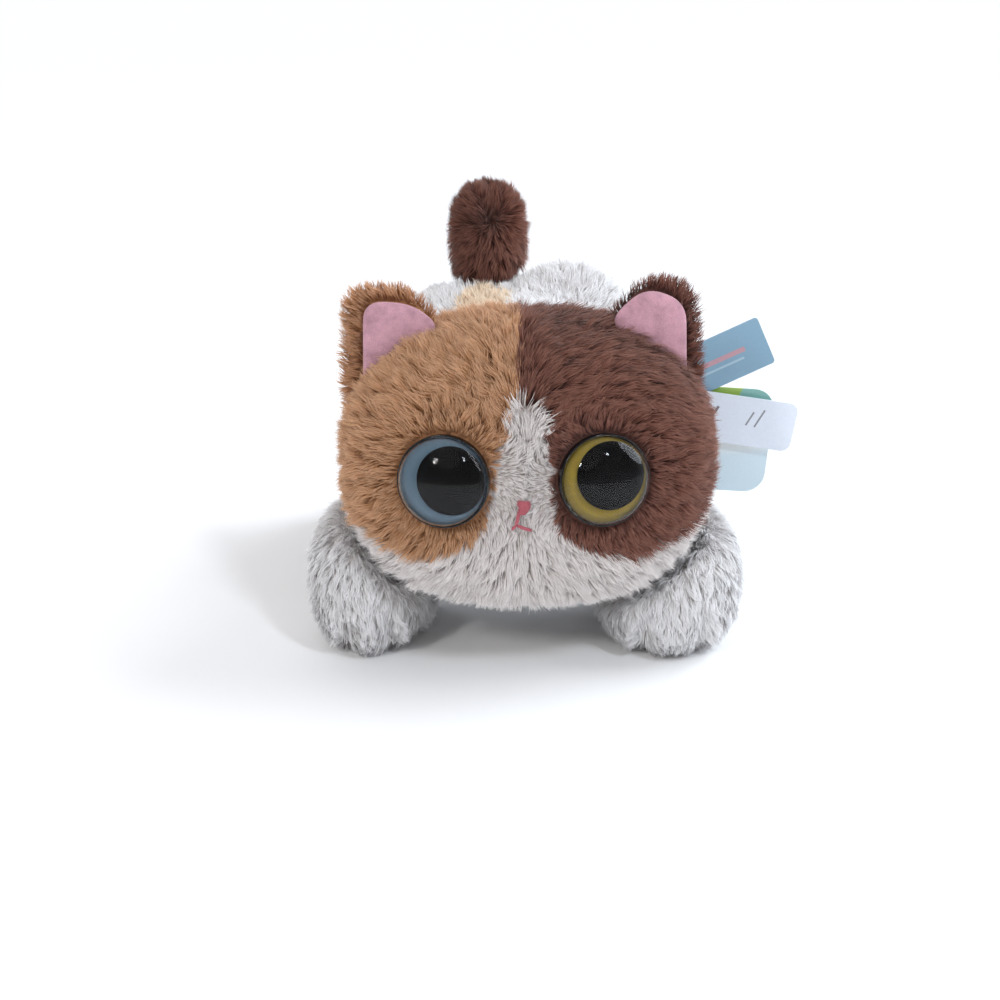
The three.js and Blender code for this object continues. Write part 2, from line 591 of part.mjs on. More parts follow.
// A polygon with rounded corners.
function softOutline(points, radius) {
  const shape = new THREE.Shape();
  const count = points.length;
  points.forEach((corner, index) => {
    const before = points[(index + count - 1) % count];
    const after = points[(index + 1) % count];
    const from = new THREE.Vector2(...before).sub(new THREE.Vector2(...corner)).setLength(radius);
    const to = new THREE.Vector2(...after).sub(new THREE.Vector2(...corner)).setLength(radius);
    const start = [corner[0] + from.x, corner[1] + from.y];
    if (index === 0) shape.moveTo(...start);
    else shape.lineTo(...start);
    shape.quadraticCurveTo(corner[0], corner[1], corner[0] + to.x, corner[1] + to.y);
  });
  shape.closePath();
  return shape;
}

// Ear corners in the XZ plane: outer base, inner base, and the two corners of the blunt tip.
const EARS = {
  left: {
    fur: [[-72, 100], [-30, 132], [-44, 150], [-70, 150]],
    lining: [[-64, 108], [-33, 136], [-44, 145], [-63, 146]],
  },
  right: {
    fur: [[68.5, 102], [27, 136], [44, 154], [64, 150]],
    lining: [[61.5, 112], [29.5, 138], [44, 151], [60, 145]],
  },
};
const EAR_Y = { back: -46, front: -58, liningFront: -61.5 };

function uprightPlate(shape, front, back) {
  const geometry = plateGeometry(shape, back - front, 4);
  geometry.rotateX(Math.PI / 2);
  geometry.translate(0, back, 0);
  return toSolid(geometry);
}

function buildHead() {
  const shoulders = block([-120, 120], [SHOULDER_Y, 60], [-10, 68]);
  const chestRoom = block([-40.5, 40.5], [BELLY.front - NOD_ROOM, 60], [-10, BELLY.top + NOD_ROOM]);
  const eyeSockets = SIDES.map(([, side]) => turned(eyeCupProfile(GAP), eyePlacement(side)));
  const washerSockets = SIDES.map(([, side]) => turned(washerProfile(GAP), eyePlacement(side)));
  const head = cut(
    pillow(HEAD, 0, 24, 16),
    torsoEnvelope(NOD_ROOM),
    shoulders,
    chestRoom,
    headFrame(GAP),
    ...eyeSockets,
    ...washerSockets,
  );
  addPiece('head_plush', head, PALETTE.whiteFur());
  addPiece('head_frame', headFrame(), PALETTE.whitePlastic());
  addPiece('neck_pin', bar('x', -12.4, 12.4, [NECK.y, NECK.z], NECK_PIN_RADIUS), PALETTE.steel());

  const skull = pillow(HEAD, GAP, 24, 16);
  const furColours = { left: PALETTE.orangeFur, right: PALETTE.brownFur };
  for (const [name] of SIDES) {
    const { fur, lining } = EARS[name];
    const ear = cut(uprightPlate(softOutline(fur, 8), EAR_Y.front, EAR_Y.back), skull);
    addPiece(`${name}_ear`, ear, furColours[name]());
    const inner = cut(uprightPlate(softOutline(lining, 4), EAR_Y.liningFront, EAR_Y.front - GAP), skull);
    addPiece(`${name}_ear_lining`, inner, PALETTE.pinkVelvet());
  }
}

// The embroidered nose with its short line down and one mouth stroke, as heights up the face.
const NOSE = { halfWidth: 2.8, top: 81, side: 78.5, point: 76, mouth: 72, strokeEnd: 70, reach: 3.7 };

function buildNose() {
  const { halfWidth, top, side, point, mouth, strokeEnd, reach } = NOSE;
  const outline = softOutline([
    [FACE_X - halfWidth, top], [FACE_X - halfWidth, side], [FACE_X - 1.2, point], [FACE_X - 1.2, mouth],
    [FACE_X - 2, mouth - 1.4], [FACE_X + reach, strokeEnd - 0.8], [FACE_X + reach, strokeEnd + 0.8],
    [FACE_X + 0.6, mouth], [FACE_X + 0.8, point], [FACE_X + halfWidth, side], [FACE_X + halfWidth, top],
  ], 0.4);
  const faceFront = HEAD.centre[1] - HEAD.radii[1];
  const nose = cut(uprightPlate(outline, faceFront - 1.6, faceFront + 6), pillow(HEAD, GAP, 24, 16));
  addPiece('nose_and_mouth', nose, PALETTE.pinkThread());
}

// ---- Tail ----
function tailCore(grow = 0) {
  const { x, y, pivotZ, top } = TAIL;
  return joined(
    bar('y', y - 8.5, y + 8.5, [x, pivotZ], 1.5 + grow),
    bar('y', y - 4 - grow, y + 4 + grow, [x, pivotZ], 3.6 + grow),
    bar('z', pivotZ, top - 16 + grow, [x, y], 2.6 + grow),
  );
}

// What the wagging tail must clear: the rump, as the tail meets it at rest and at both ends of its swing.
function wagRoom() {
  const { x, y, pivotZ } = TAIL;
  const rump = torsoEnvelope(3).translate(-x, -y, -pivotZ);
  const turned = [-WAG_DEGREES, 0, WAG_DEGREES].map((degrees) => rump.rotate([0, degrees, 0]));
  return turned.map((solid) => solid.translate(x, y, pivotZ));
}

function buildTail() {
  const { x, y, bottom, top, radius } = TAIL;
  const middle = (bottom + top) / 2;
  const radii = [radius, radius, (top - bottom) / 2];
  const plush = pillow({ centre: [x, y, middle], radii, power: 3 }, 0, 14, 10);
  addPiece('tail_core', tailCore(), PALETTE.whitePlastic());
  addPiece('tail_plush', cut(plush, ...wagRoom(), tailCore(GAP)), PALETTE.brownFur());
}

// ---- Hang tags on a stiff plastic loop at the shoulder ----
// Every card is drawn flat about its own hole, then turned about the loop and spread out like a fan.
const LOOP = { x: 59, y: 8.9, z: 88, reachX: 9.5, reachY: 5, radius: 0.5 };
const TAG_HOLE = { x: 67.8, radius: 2.4 };
const TAG_THICKNESS = 0.8;
const TAGS = {
  white_tag: { y: 6.4, tilt: -9, length: [-6, 54], height: [-17.5, 4.5], corner: 4, colour: 'whiteCard' },
  blue_tag: { y: 8.4, tilt: 25, length: [-5, 45], height: [-4.5, 17.5], corner: 1.5, colour: 'blueCard' },
  pale_tag: { y: 10.4, tilt: -4, length: [-5, 44], height: [-43, 4.5], corner: 9, colour: 'paleCard' },
};

function buildTags() {
  for (const [name, { y, tilt, length, height, corner, colour }] of Object.entries(TAGS)) {
    const outline = roundedRectangle(...length, ...height, corner);
    const hole = new THREE.Path();
    hole.absarc(0, 0, TAG_HOLE.radius, 0, 2 * Math.PI, true);
    outline.holes.push(hole);
    const geometry = plateGeometry(outline, TAG_THICKNESS, 4);
    geometry.rotateZ(THREE.MathUtils.degToRad(tilt));
    geometry.rotateX(Math.PI / 2);
    geometry.translate(TAG_HOLE.x, y + TAG_THICKNESS, LOOP.z);
    addPiece(name, toSolid(geometry), PALETTE[colour]());
  }

  const path = new THREE.CatmullRomCurve3(
    Array.from({ length: 16 }, (_, step) => {
      const angle = (step / 16) * 2 * Math.PI;
      return new THREE.Vector3(
        LOOP.x + LOOP.reachX * Math.cos(angle), LOOP.y + LOOP.reachY * Math.sin(angle), LOOP.z);
    }),
    true,
  );
  const section = new THREE.Shape();
  section.absarc(0, 0, LOOP.radius, 0, 2 * Math.PI);
  const loop = new THREE.ExtrudeGeometry(section, { steps: 24, extrudePath: path, curveSegments: 3 });
  addPiece('tag_loop', toSolid(loop), PALETTE.tagString());
}

buildCasing();
buildPower();
buildDrive();
buildCranksAndLinks();
buildLegs();
buildBody();
buildHead();
buildEyes();
buildNose();
buildTail();
buildTags();

export default kitten;
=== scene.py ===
import json
import math

import bmesh
import bpy
import numpy as np
from mathutils import Matrix, Vector


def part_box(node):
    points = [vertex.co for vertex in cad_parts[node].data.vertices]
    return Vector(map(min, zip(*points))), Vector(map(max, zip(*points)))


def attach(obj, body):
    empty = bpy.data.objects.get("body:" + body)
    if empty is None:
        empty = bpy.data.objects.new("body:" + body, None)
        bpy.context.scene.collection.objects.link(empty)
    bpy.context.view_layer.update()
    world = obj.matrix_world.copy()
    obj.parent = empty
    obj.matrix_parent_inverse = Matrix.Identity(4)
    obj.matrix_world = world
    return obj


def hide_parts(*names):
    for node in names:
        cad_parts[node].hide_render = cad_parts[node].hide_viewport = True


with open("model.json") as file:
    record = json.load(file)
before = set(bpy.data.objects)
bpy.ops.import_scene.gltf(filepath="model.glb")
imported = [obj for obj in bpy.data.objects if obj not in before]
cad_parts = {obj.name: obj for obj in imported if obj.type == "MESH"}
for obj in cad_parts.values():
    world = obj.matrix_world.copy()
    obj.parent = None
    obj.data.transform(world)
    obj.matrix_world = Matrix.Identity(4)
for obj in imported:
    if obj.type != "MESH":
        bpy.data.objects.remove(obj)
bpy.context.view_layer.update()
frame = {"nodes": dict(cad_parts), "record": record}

MM = 0.001
SEED = 20


# ---- Places, in millimetres about the middle of the four paws, as the model is drawn ----
def middle(node):
    low, high = (np.array(corner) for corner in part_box(node))
    return (low + high) / 2


NECK_PIN_Y = -25
ORIGIN = np.array([middle("neck_pin")[0], middle("neck_pin")[1] - NECK_PIN_Y * MM, 0.0])


def place(x, y, z):
    """Millimetres about the paws' middle to metres in the frame."""
    return ORIGIN + np.array([x, y, z]) * MM


def placed(points):
    """The same for rows of points, as lists."""
    return (ORIGIN + points * MM).tolist()


FACE_REAR = -70  # the face is in front of this plane across the head
PILE = 4.5  # how far the cloth backing lies below the outer surface of the fur
HEAD = {"centre": (0, -52, 80), "radii": (73, 54, 60), "power": 2.5}
TORSO = {"centre": (0, 38, 84), "radii": (52, 70, 42), "power": 2.3}
RUMP_RIGHT = {"centre": (25, 68, 92), "radii": (34, 38, 43), "power": 2.1}
RUMP_LEFT = {"centre": (-31, 66, 86), "radii": (30, 38, 38), "power": 2.1}
BELLY = {"half_width": 33.5, "front": -36, "rear": 94, "bottom": 27.5, "top": 72}
CASING = {"half_width": 22, "front": -30, "rear": 88}
LEGS = {
    "front_left": {"centre": (-64.5, -44, 28), "radii": (25, 34, 32), "power": 2.4},
    "front_right": {"centre": (58, -48, 28), "radii": (31, 35, 32), "power": 2.4},
    "rear_left": {"centre": (-58, 76, 29), "radii": (23, 35, 34), "power": 2.4},
    "rear_right": {"centre": (58, 76, 29), "radii": (23, 35, 34), "power": 2.4},
}
TAIL = {"centre": (-13, 82, 144.5), "radii": (18, 18, 26.5), "power": 3}
TAIL_PIVOT = (-13, 82, 98)
WAG_DEGREES = 12
FACE_X = -3.3
EYE = {"radius": 17, "spread": 29.3, "y": -100, "z": 87.5, "yaw": 13, "pitch": 9}
NOSE = (FACE_X, -106, 78)
SIDES = (("left", -1), ("right", 1))
EARS = {
    "left": {
        "fur": ((-72, 100), (-30, 132), (-44, 150), (-70, 150)),
        "lining": ((-64, 108), (-33, 136), (-44, 145), (-63, 146)),
    },
    "right": {
        "fur": ((68.5, 102), (27, 136), (44, 154), (64, 150)),
        "lining": ((61.5, 112), (29.5, 138), (44, 151), (60, 145)),
    },
}
EAR_Y = -52
LINING_Y = -60.2


def linked(name, data):
    """A new object in the scene."""
    obj = bpy.data.objects.new(name, data)
    bpy.context.scene.collection.objects.link(obj)
    return obj


# ---- Camera, lights and floor ----
def make_camera():
    azimuth = math.radians(-1.5)
    elevation = math.radians(20)
    distance = 600
    back = np.array([
        math.sin(azimuth) * math.cos(elevation),
        -math.cos(azimuth) * math.cos(elevation),
        math.sin(elevation),
    ])
    right = np.array([math.cos(azimuth), math.sin(azimuth), 0])
    up = np.cross(back, right)
    spot = np.array(HEAD["centre"]) + distance * back - 10.8 * right - 16.8 * up
    camera = linked("camera", bpy.data.cameras.new("camera"))
    camera.data.lens = 54
    camera.data.sensor_width = 36
    camera.data.clip_start = 0.01
    rows = np.column_stack([right, up, back, place(*spot)])
    camera.matrix_world = Matrix([*rows.tolist(), [0, 0, 0, 1]])
    bpy.context.scene.camera = camera


def add_light(name, kind, spot, target, energy, colour, **settings):
    light = bpy.data.lights.new(name, kind)
    light.energy = energy
    light.color = colour
    for key, value in settings.items():
        setattr(light, key, value)
    obj = linked(name, light)
    obj.location = spot
    obj.rotation_euler = (Vector(target) - Vector(spot)).to_track_quat("-Z", "Y").to_euler()


def make_world():
    """A pale room, brighter behind the kitten than behind the camera."""
    world = bpy.data.worlds.new("studio")
    world.use_nodes = True
    tree = world.node_tree
    background = tree.nodes["Background"]
    where, parts, ramp, towards = (tree.nodes.new(f"ShaderNode{kind}") for kind in (
        "TexCoord", "SeparateXYZ", "ValToRGB", "Math"))
    stops = ((0.3, (0.3, 0.3, 0.31, 1)), (0.9, (1.16, 1.17, 1.2, 1)))
    for element, (position, colour) in zip(ramp.color_ramp.elements, stops):
        element.position = position
        element.color = colour
    towards.operation = "MULTIPLY_ADD"
    towards.inputs[1].default_value = towards.inputs[2].default_value = 0.5
    tree.links.new(where.outputs["Generated"], parts.inputs["Vector"])
    tree.links.new(parts.outputs["Y"], towards.inputs[0])
    tree.links.new(towards.outputs["Value"], ramp.inputs["Fac"])
    tree.links.new(ramp.outputs["Color"], background.inputs["Color"])
    bpy.context.scene.world = world


def make_stage():
    make_world()
    aim = (0, 0, 0.06)
    white, cool = (1.0, 0.985, 0.96), (0.86, 0.93, 1.0)
    add_light("sun_front", "SUN", (-0.25, -0.8, 1.0), aim, 0.25, white, angle=0.9)
    add_light("sun_side", "SUN", (0.9, 0.2, 0.65), aim, 2.4, cool, angle=0.8)
    window = {"shape": "RECTANGLE", "size": 0.12, "size_y": 0.2}
    add_light("window_left", "AREA", (-0.62, -0.95, 0.78), aim, 4.0, white, **window)
    add_light("window_right", "AREA", (0.42, -0.80, 0.92), aim, 4.0, cool, **window)

    reach = 60.0
    mesh = bpy.data.meshes.new("floor")
    corners = [(-reach, -reach, 0), (reach, -reach, 0), (reach, reach, 0), (-reach, reach, 0)]
    mesh.from_pydata(corners, [], [(0, 1, 2, 3)])
    pale = {"Base_Color": (0.95, 0.95, 0.955, 1), "Roughness": 0.8, "Specular_IOR_Level": 0.1}
    mesh.materials.append(Nodes("pale_floor", **pale).material)
    linked("floor", mesh)
    bpy.context.scene.view_settings.view_transform = "Standard"


# ---- Materials ----
def srgb(code):
    """A hex colour as linear red, green, blue."""
    channels = [int(code[i:i + 2], 16) / 255 for i in (0, 2, 4)]
    return tuple(c / 12.92 if c <= 0.04045 else ((c + 0.055) / 1.055) ** 2.4 for c in channels)


def scaled(colour, factor):
    return tuple(min(1.0, c * factor) for c in colour)


class Nodes:
    """A short way to build one material's node tree."""

    def __init__(self, name, **constants):
        self.material = bpy.data.materials.new(name)
        self.material.use_nodes = True
        self.tree = self.material.node_tree
        self.shader = self.tree.nodes["Principled BSDF"]
        for socket, value in constants.items():
            self.shader.inputs[socket.replace("_", " ")].default_value = value

    def add(self, kind, **settings):
        node = self.tree.nodes.new(kind)
        for key, value in settings.items():
            socket = key.replace("_", " ")
            if socket in node.inputs:
                node.inputs[socket].default_value = value
            else:
                setattr(node, key, value)
        return node

    def link(self, source, target):
        self.tree.links.new(source, target)

    def coordinates(self, stretch=(1, 1, 1)):
        spot = self.add("ShaderNodeTexCoord").outputs["Object"]
        if stretch == (1, 1, 1):
            return spot
        mapping = self.add("ShaderNodeMapping", Scale=stretch)
        self.link(spot, mapping.inputs["Vector"])
        return mapping.outputs["Vector"]

    def noise(self, scale, detail=4.0, roughness=0.55, stretch=(1, 1, 1)):
        node = self.add("ShaderNodeTexNoise", Scale=scale, Detail=detail, Roughness=roughness)
        self.link(self.coordinates(stretch), node.inputs["Vector"])
        return node.outputs["Fac"]

    def distance(self, spot):
        """Metres from one place in the frame."""
        node = self.add("ShaderNodeVectorMath", operation="DISTANCE")
        self.link(self.coordinates(), node.inputs[0])
        node.inputs[1].default_value = tuple(spot)
        return node.outputs["Value"]

    def math(self, operation, first, second):
        node = self.add("ShaderNodeMath", operation=operation)
        for value, socket in zip((first, second), node.inputs):
            if isinstance(value, bpy.types.NodeSocket):
                self.link(value, socket)
            else:
                socket.default_value = value
        return node.outputs["Value"]

    def vector(self, operation, source, other=None):
        node = self.add("ShaderNodeVectorMath", operation=operation)
        self.link(source, node.inputs[0])
        if other is not None:
            node.inputs[1].default_value = tuple(other)
        return node.outputs["Vector"]

    def axes(self, source):
        node = self.add("ShaderNodeSeparateXYZ")
        self.link(source, node.inputs["Vector"])
        return node.outputs

    def between(self, source, low, high):
        """0 at low and 1 at high."""
        node = self.add("ShaderNodeMapRange")
        self.link(source, node.inputs["Value"])
        node.inputs["From Min"].default_value = low
        node.inputs["From Max"].default_value = high
        return node.outputs["Result"]

    def ramp(self, source, stops):
        node = self.add("ShaderNodeValToRGB")
        elements = node.color_ramp.elements
        while len(elements) < len(stops):
            elements.new(0.5)
        for element, (position, colour) in zip(elements, stops):
            element.position = position
            element.color = (*colour, 1)
        self.link(source, node.inputs["Fac"])
        return node.outputs["Color"]

    def grey_ramp(self, source, low, high, start=0.3, end=0.7):
        return self.ramp(source, [(start, (low,) * 3), (end, (high,) * 3)])

    def mix(self, factor, first, second, blend="MIX"):
        node = self.add("ShaderNodeMix", data_type="RGBA", blend_type=blend)
        for value, socket in ((factor, node.inputs[0]), (first, node.inputs[6]), (second, node.inputs[7])):
            if isinstance(value, bpy.types.NodeSocket):
                self.link(value, socket)
            elif isinstance(value, tuple):
                socket.default_value = (*value, 1)
            else:
                socket.default_value = value
        return node.outputs[2]

    def bump(self, height, distance, strength=0.5):
        node = self.add("ShaderNodeBump", Distance=distance, Strength=strength)
        self.link(height, node.inputs["Height"])
        self.link(node.outputs["Normal"], self.shader.inputs["Normal"])

    def colour(self, source):
        self.link(source, self.shader.inputs["Base Color"])

    def roughness(self, source):
        self.link(source, self.shader.inputs["Roughness"])


def fur_material(name, root, body, tip, spread):
    """Pile: darker at the root, which is painted shade among the crowded strands, lighter at the tip, and
    each strand its own shade within the spread.
    """
    nodes = Nodes(name, Roughness=0.7, Sheen_Weight=0.2, Sheen_Roughness=0.5, Specular_IOR_Level=0.2)
    strand = nodes.add("ShaderNodeAttribute", attribute_name="strand")
    parts = nodes.add("ShaderNodeSeparateColor")
    nodes.link(strand.outputs["Color"], parts.inputs["Color"])
    along = nodes.ramp(parts.outputs["Red"], [(0.0, root), (0.5, body), (1.0, tip)])
    varied = nodes.ramp(parts.outputs["Green"], [
        (0.0, (1 - spread,) * 3), (0.5, (1.0,) * 3), (1.0, (1 + 0.7 * spread,) * 3),
    ])
    nodes.colour(nodes.mix(1.0, along, varied, "MULTIPLY"))
    return nodes.material


def backing_material(name):
    """The knitted cloth that carries the pile, dyed the pile's hue by its colour attribute, and darkened as
    painted shade for the gaps between strands.
    """
    nodes = Nodes(name, Roughness=0.9)
    painted = nodes.add("ShaderNodeAttribute", attribute_name="patch").outputs["Color"]
    knit = nodes.grey_ramp(nodes.noise(900), 0.75, 1.0)
    nodes.colour(nodes.mix(1.0, painted, knit, "MULTIPLY"))
    nodes.bump(nodes.noise(1400), 0.0003)
    return nodes.material


def velvet_material(name, colour):
    """Short nap, brushed into soft light and dark clouds."""
    sheen = {"Sheen_Weight": 0.45, "Sheen_Roughness": 0.35, "Sheen_Tint": (1.0, 0.86, 0.9, 1)}
    nodes = Nodes(name, Roughness=0.85, **sheen)
    clouds = nodes.ramp(nodes.noise(170, 5, 0.6), [
        (0.3, scaled(colour, 0.74)), (0.5, colour), (0.72, scaled(colour, 1.2)),
    ])
    grain = nodes.grey_ramp(nodes.noise(2600, 3), 0.84, 1.08)
    nodes.colour(nodes.mix(1.0, clouds, grain, "MULTIPLY"))
    nodes.bump(nodes.noise(1800, 4), 0.0004, 0.6)
    return nodes.material


def thread_material(name, colour):
    """Shiny embroidery thread with a fine twist."""
    nodes = Nodes(name, Roughness=0.45, Sheen_Weight=0.3)
    twist = nodes.noise(2400, 2, 0.5, (1, 1, 3))
    nodes.colour(nodes.ramp(twist, [(0.35, scaled(colour, 0.62)), (0.65, scaled(colour, 1.12))]))
    nodes.bump(twist, 0.0002, 0.7)
    return nodes.material


def plastic_material(name, colour, roughness=0.45, grain=0.5):
    """Moulded plastic: a fine eroded grain, faint flow clouds and a little rubbed shine."""
    nodes = Nodes(name)
    flow = nodes.grey_ramp(nodes.noise(45, 3), 0.92, 1.05)
    nodes.colour(nodes.mix(1.0, colour, flow, "MULTIPLY"))
    nodes.roughness(nodes.grey_ramp(nodes.noise(160, 4), roughness - 0.08, roughness + 0.1))
    nodes.bump(nodes.noise(2200, 3), 0.00015, grain)
    return nodes.material


def metal_material(name, colour, roughness=0.28):
    """Drawn metal, with fine lines along its length and a few dull patches."""
    nodes = Nodes(name, Metallic=1.0)
    lines = nodes.noise(700, 3, 0.6, (1, 9, 9))
    nodes.colour(nodes.ramp(lines, [(0.3, scaled(colour, 0.78)), (0.7, colour)]))
    nodes.roughness(nodes.grey_ramp(nodes.noise(90, 4), roughness - 0.06, roughness + 0.16))
    nodes.bump(lines, 0.00008, 0.4)
    return nodes.material


def gloss_material(name, colour, level=0.5):
    """Polished plastic, a little uneven in its shine."""
    nodes = Nodes(name, Specular_IOR_Level=level)
    clouds = nodes.grey_ramp(nodes.noise(60, 2), 0.8, 1.15)
    nodes.colour(nodes.mix(1.0, colour, clouds, "MULTIPLY"))
    nodes.roughness(nodes.grey_ramp(nodes.noise(140, 3), 0.08, 0.2))
    return nodes.material


def iris_material(name, centre, colour):
    """A printed ring: pearly colour, darker towards its outer rim."""
    nodes = Nodes(name, Roughness=0.35, Specular_IOR_Level=0.3)
    reach = nodes.math("DIVIDE", nodes.distance(centre), EYE["radius"] * MM)
    by_radius = nodes.ramp(reach, [
        (0.6, scaled(colour, 0.8)), (0.76, scaled(colour, 1.1)),
        (0.9, colour), (0.965, scaled(colour, 0.5)),
    ])
    flecks = nodes.grey_ramp(nodes.noise(620, 4, 0.6), 0.9, 1.08)
    nodes.colour(nodes.mix(1.0, by_radius, flecks, "MULTIPLY"))
    return nodes.material


def lens_material(name):
    """Clear cast dome."""
    nodes = Nodes(name, Transmission_Weight=1.0, IOR=1.18, Roughness=0.0)
    nodes.colour(nodes.ramp(nodes.noise(20, 1), [(0.0, (0.97, 0.98, 1.0)), (1.0, (1.0, 1.0, 1.0))]))
    return nodes.material


def card_material(name, colour, print_of=None):
    """Coated card: faint paper fibre, soft shine, slightly rubbed surface, and a generic printed pattern."""
    nodes = Nodes(name, Roughness=0.38, Coat_Weight=0.25, Coat_Roughness=0.2)
    base = print_of(nodes) if print_of else colour
    fibre = nodes.grey_ramp(nodes.noise(900, 5, 0.7), 0.96, 1.02)
    nodes.colour(nodes.mix(1.0, base, fibre, "MULTIPLY"))
    nodes.bump(nodes.noise(700, 5), 0.00006, 0.3)
    return nodes.material


def bar_mask(nodes, spot, turn, half_length, half_width):
    """1 inside a bar on a card: centred at spot, its length turned from +X, sizes in metres."""
    level = nodes.add("ShaderNodeVectorRotate", rotation_type="Y_AXIS", Angle=math.radians(turn))
    nodes.link(nodes.vector("SUBTRACT", nodes.coordinates(), spot), level.inputs["Vector"])
    size = nodes.axes(nodes.vector("ABSOLUTE", level.outputs["Vector"]))
    return nodes.math(
        "MULTIPLY",
        nodes.math("LESS_THAN", size["X"], half_length),
        nodes.math("LESS_THAN", size["Z"], half_width),
    )


def on_card(node, across, up):
    """A place on a card, as shares of its box."""
    low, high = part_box(node)
    return (low.x + across * (high.x - low.x), low.y, low.z + up * (high.z - low.z))


def blue_card_print(nodes):
    """Two plain stripes along the card."""
    field = srgb("84aac2")
    for up, half_width, colour in ((0.54, 0.0011, srgb("c79aa5")), (0.44, 0.0005, srgb("a9c6d6"))):
        mask = bar_mask(nodes, on_card("blue_tag", 0.55, up), 25, 0.012, half_width)
        field = nodes.mix(mask, field, colour)
    return field


def white_card_print(nodes):
    """Rows of small plain dashes, with no lettering."""
    field = srgb("e3eaf6")
    for across in (0.24, 0.32, 0.40):
        mask = bar_mask(nodes, on_card("white_tag", across, 0.58), -30, 0.0006, 0.0040)
        field = nodes.mix(mask, field, srgb("6e7078"))
    for across, half in ((0.66, 0.0034), (0.73, 0.0044)):
        mask = bar_mask(nodes, on_card("white_tag", across, 0.50), -30, 0.0004, half)
        field = nodes.mix(mask, field, srgb("8c8e96"))
    return field


def pale_card_print(nodes):
    """Soft leaf green and teal spots along the top of the card, over a pale blue lower half."""
    low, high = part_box("pale_tag")
    height = nodes.between(nodes.axes(nodes.coordinates())["Z"], low.z, high.z)
    field = nodes.ramp(height, [
        (0.0, srgb("cfe3ee")), (0.34, srgb("d6e8f1")), (0.42, srgb("ebf1f2")), (1.0, srgb("edf1ee")),
    ])
    spots = ((0.56, 0.93, 0.010, "aacb5c"), (0.86, 0.86, 0.009, "8fc4bb"), (0.30, 0.86, 0.007, "9fd0c4"))
    for across, up, radius, colour in spots:
        within = nodes.between(nodes.distance(on_card("pale_tag", across, up)), radius, radius * 0.9)
        field = nodes.mix(within, field, srgb(colour))
    return field


def cell_material(name, colour):
    """Printed battery wrap: a coloured sleeve with a metallic band at one end."""
    nodes = Nodes(name, Roughness=0.28, Coat_Weight=0.4)
    low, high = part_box("battery_cell_1")
    along = nodes.between(nodes.axes(nodes.coordinates())["Y"], low.y, high.y)
    bands = nodes.ramp(along, [
        (0.0, colour), (0.7, colour), (0.72, srgb("c9a45c")), (0.96, srgb("c9a45c")), (0.97, srgb("c9ccd0")),
    ])
    nodes.colour(nodes.mix(1.0, bands, nodes.grey_ramp(nodes.noise(300), 0.9, 1.04), "MULTIPLY"))
    return nodes.material


def board_material(name, colour):
    """Green solder mask over copper tracks."""
    nodes = Nodes(name, Roughness=0.35, Coat_Weight=0.3)
    tracks = nodes.add("ShaderNodeTexBrick", Scale=260.0, Mortar_Size=0.03)
    nodes.link(nodes.coordinates(), tracks.inputs["Vector"])
    nodes.link(nodes.ramp(nodes.noise(90), [(0.4, scaled(colour, 0.85)), (0.6, scaled(colour, 1.1))]),
               tracks.inputs["Color1"])
    tracks.inputs["Color2"].default_value = (*scaled(colour, 0.92), 1)
    tracks.inputs["Mortar"].default_value = (*scaled(colour, 1.5), 1)
    nodes.colour(tracks.outputs["Color"])
    return nodes.material


# The root colours, darker than the middle ones, are painted shade down among the crowded strands.
COATS = {  # root, middle and tip of the pile, and how much the strands' shades differ
    "white": (srgb("dcd6d4"), srgb("eae8e8"), srgb("f8f8fa"), 0.08),
    # The next row is a warmer white for the blaze and the chin, also greyer than the white row as painted
    # shade on the front of the face.
    "cream": (srgb("c4bab6"), srgb("d8d0cd"), srgb("ebe6e4"), 0.10),
    "orange": (srgb("8a5932"), srgb("b1805a"), srgb("d0a684"), 0.28),
    "brown": (srgb("3c2019"), srgb("6c4236"), srgb("916556"), 0.30),
    "peach": (srgb("cfae8a"), srgb("e8ceb0"), srgb("f3e4d0"), 0.14),
}
PINK = srgb("c1929f")


def cad_finishes():
    """The finish for each of the record's material slots that a CAD node keeps."""
    return {
        "grey_plastic": plastic_material("grey_moulding", srgb("9a9fa3"), 0.5),
        "white_plastic": plastic_material("white_moulding", srgb("e9e6df"), 0.42),
        "black_plastic": plastic_material("black_moulding", srgb("1b1b1e"), 0.4),
        "gear_plastic": plastic_material("gear_moulding", srgb("ded8c6"), 0.38, 0.25),
        "switch_red": plastic_material("red_moulding", srgb("bd3a31"), 0.36, 0.3),
        "steel": metal_material("drawn_steel", srgb("c3c6ca")),
        "brass": metal_material("rolled_brass", srgb("c8a860"), 0.3),
        "cell_wrap": cell_material("cell_sleeve", srgb("2f6f54")),
        "board_green": board_material("circuit_green", srgb("2c7048")),
        "blue_card": card_material("blue_coated_card", None, blue_card_print),
        "white_card": card_material("white_coated_card", None, white_card_print),
        "pale_card": card_material("pale_coated_card", None, pale_card_print),
    }


def dress_cad_nodes():
    finishes = cad_finishes()
    for part in frame["record"]["subparts"]:
        obj = frame["nodes"][part["node"]]
        finish = finishes.get(part["material_slot"])
        if finish is not None and not obj.hide_render:
            obj.data.materials.clear()
            obj.data.materials.append(finish)


# ---- Shapes as fields: negative inside, about a distance in millimetres ----
def pillow(points, shape, grow=0.0):
    radii = np.array(shape["radii"], float) + grow
    power = shape["power"]
    away = np.abs((points - np.array(shape["centre"], float)) / radii)
    level = (away ** power).sum(1) ** (1 / power)
    return (level - 1) * radii.min()


def soft_block(points, low, high, rounding):
    centre = (np.array(low, float) + np.array(high, float)) / 2
    half = (np.array(high, float) - np.array(low, float)) / 2 - rounding
    away = np.abs(points - centre) - half
    outside = np.linalg.norm(np.maximum(away, 0), axis=1)
    return outside + np.minimum(away.max(1), 0) - rounding


def soft_union(a, b, width):
    blend = np.clip(0.5 + 0.5 * (b - a) / width, 0, 1)
    return b * (1 - blend) + a * blend - width * blend * (1 - blend)


def soft_cut(a, b, width):
    """a with b taken out of it."""
    return -soft_union(-a, b, width)


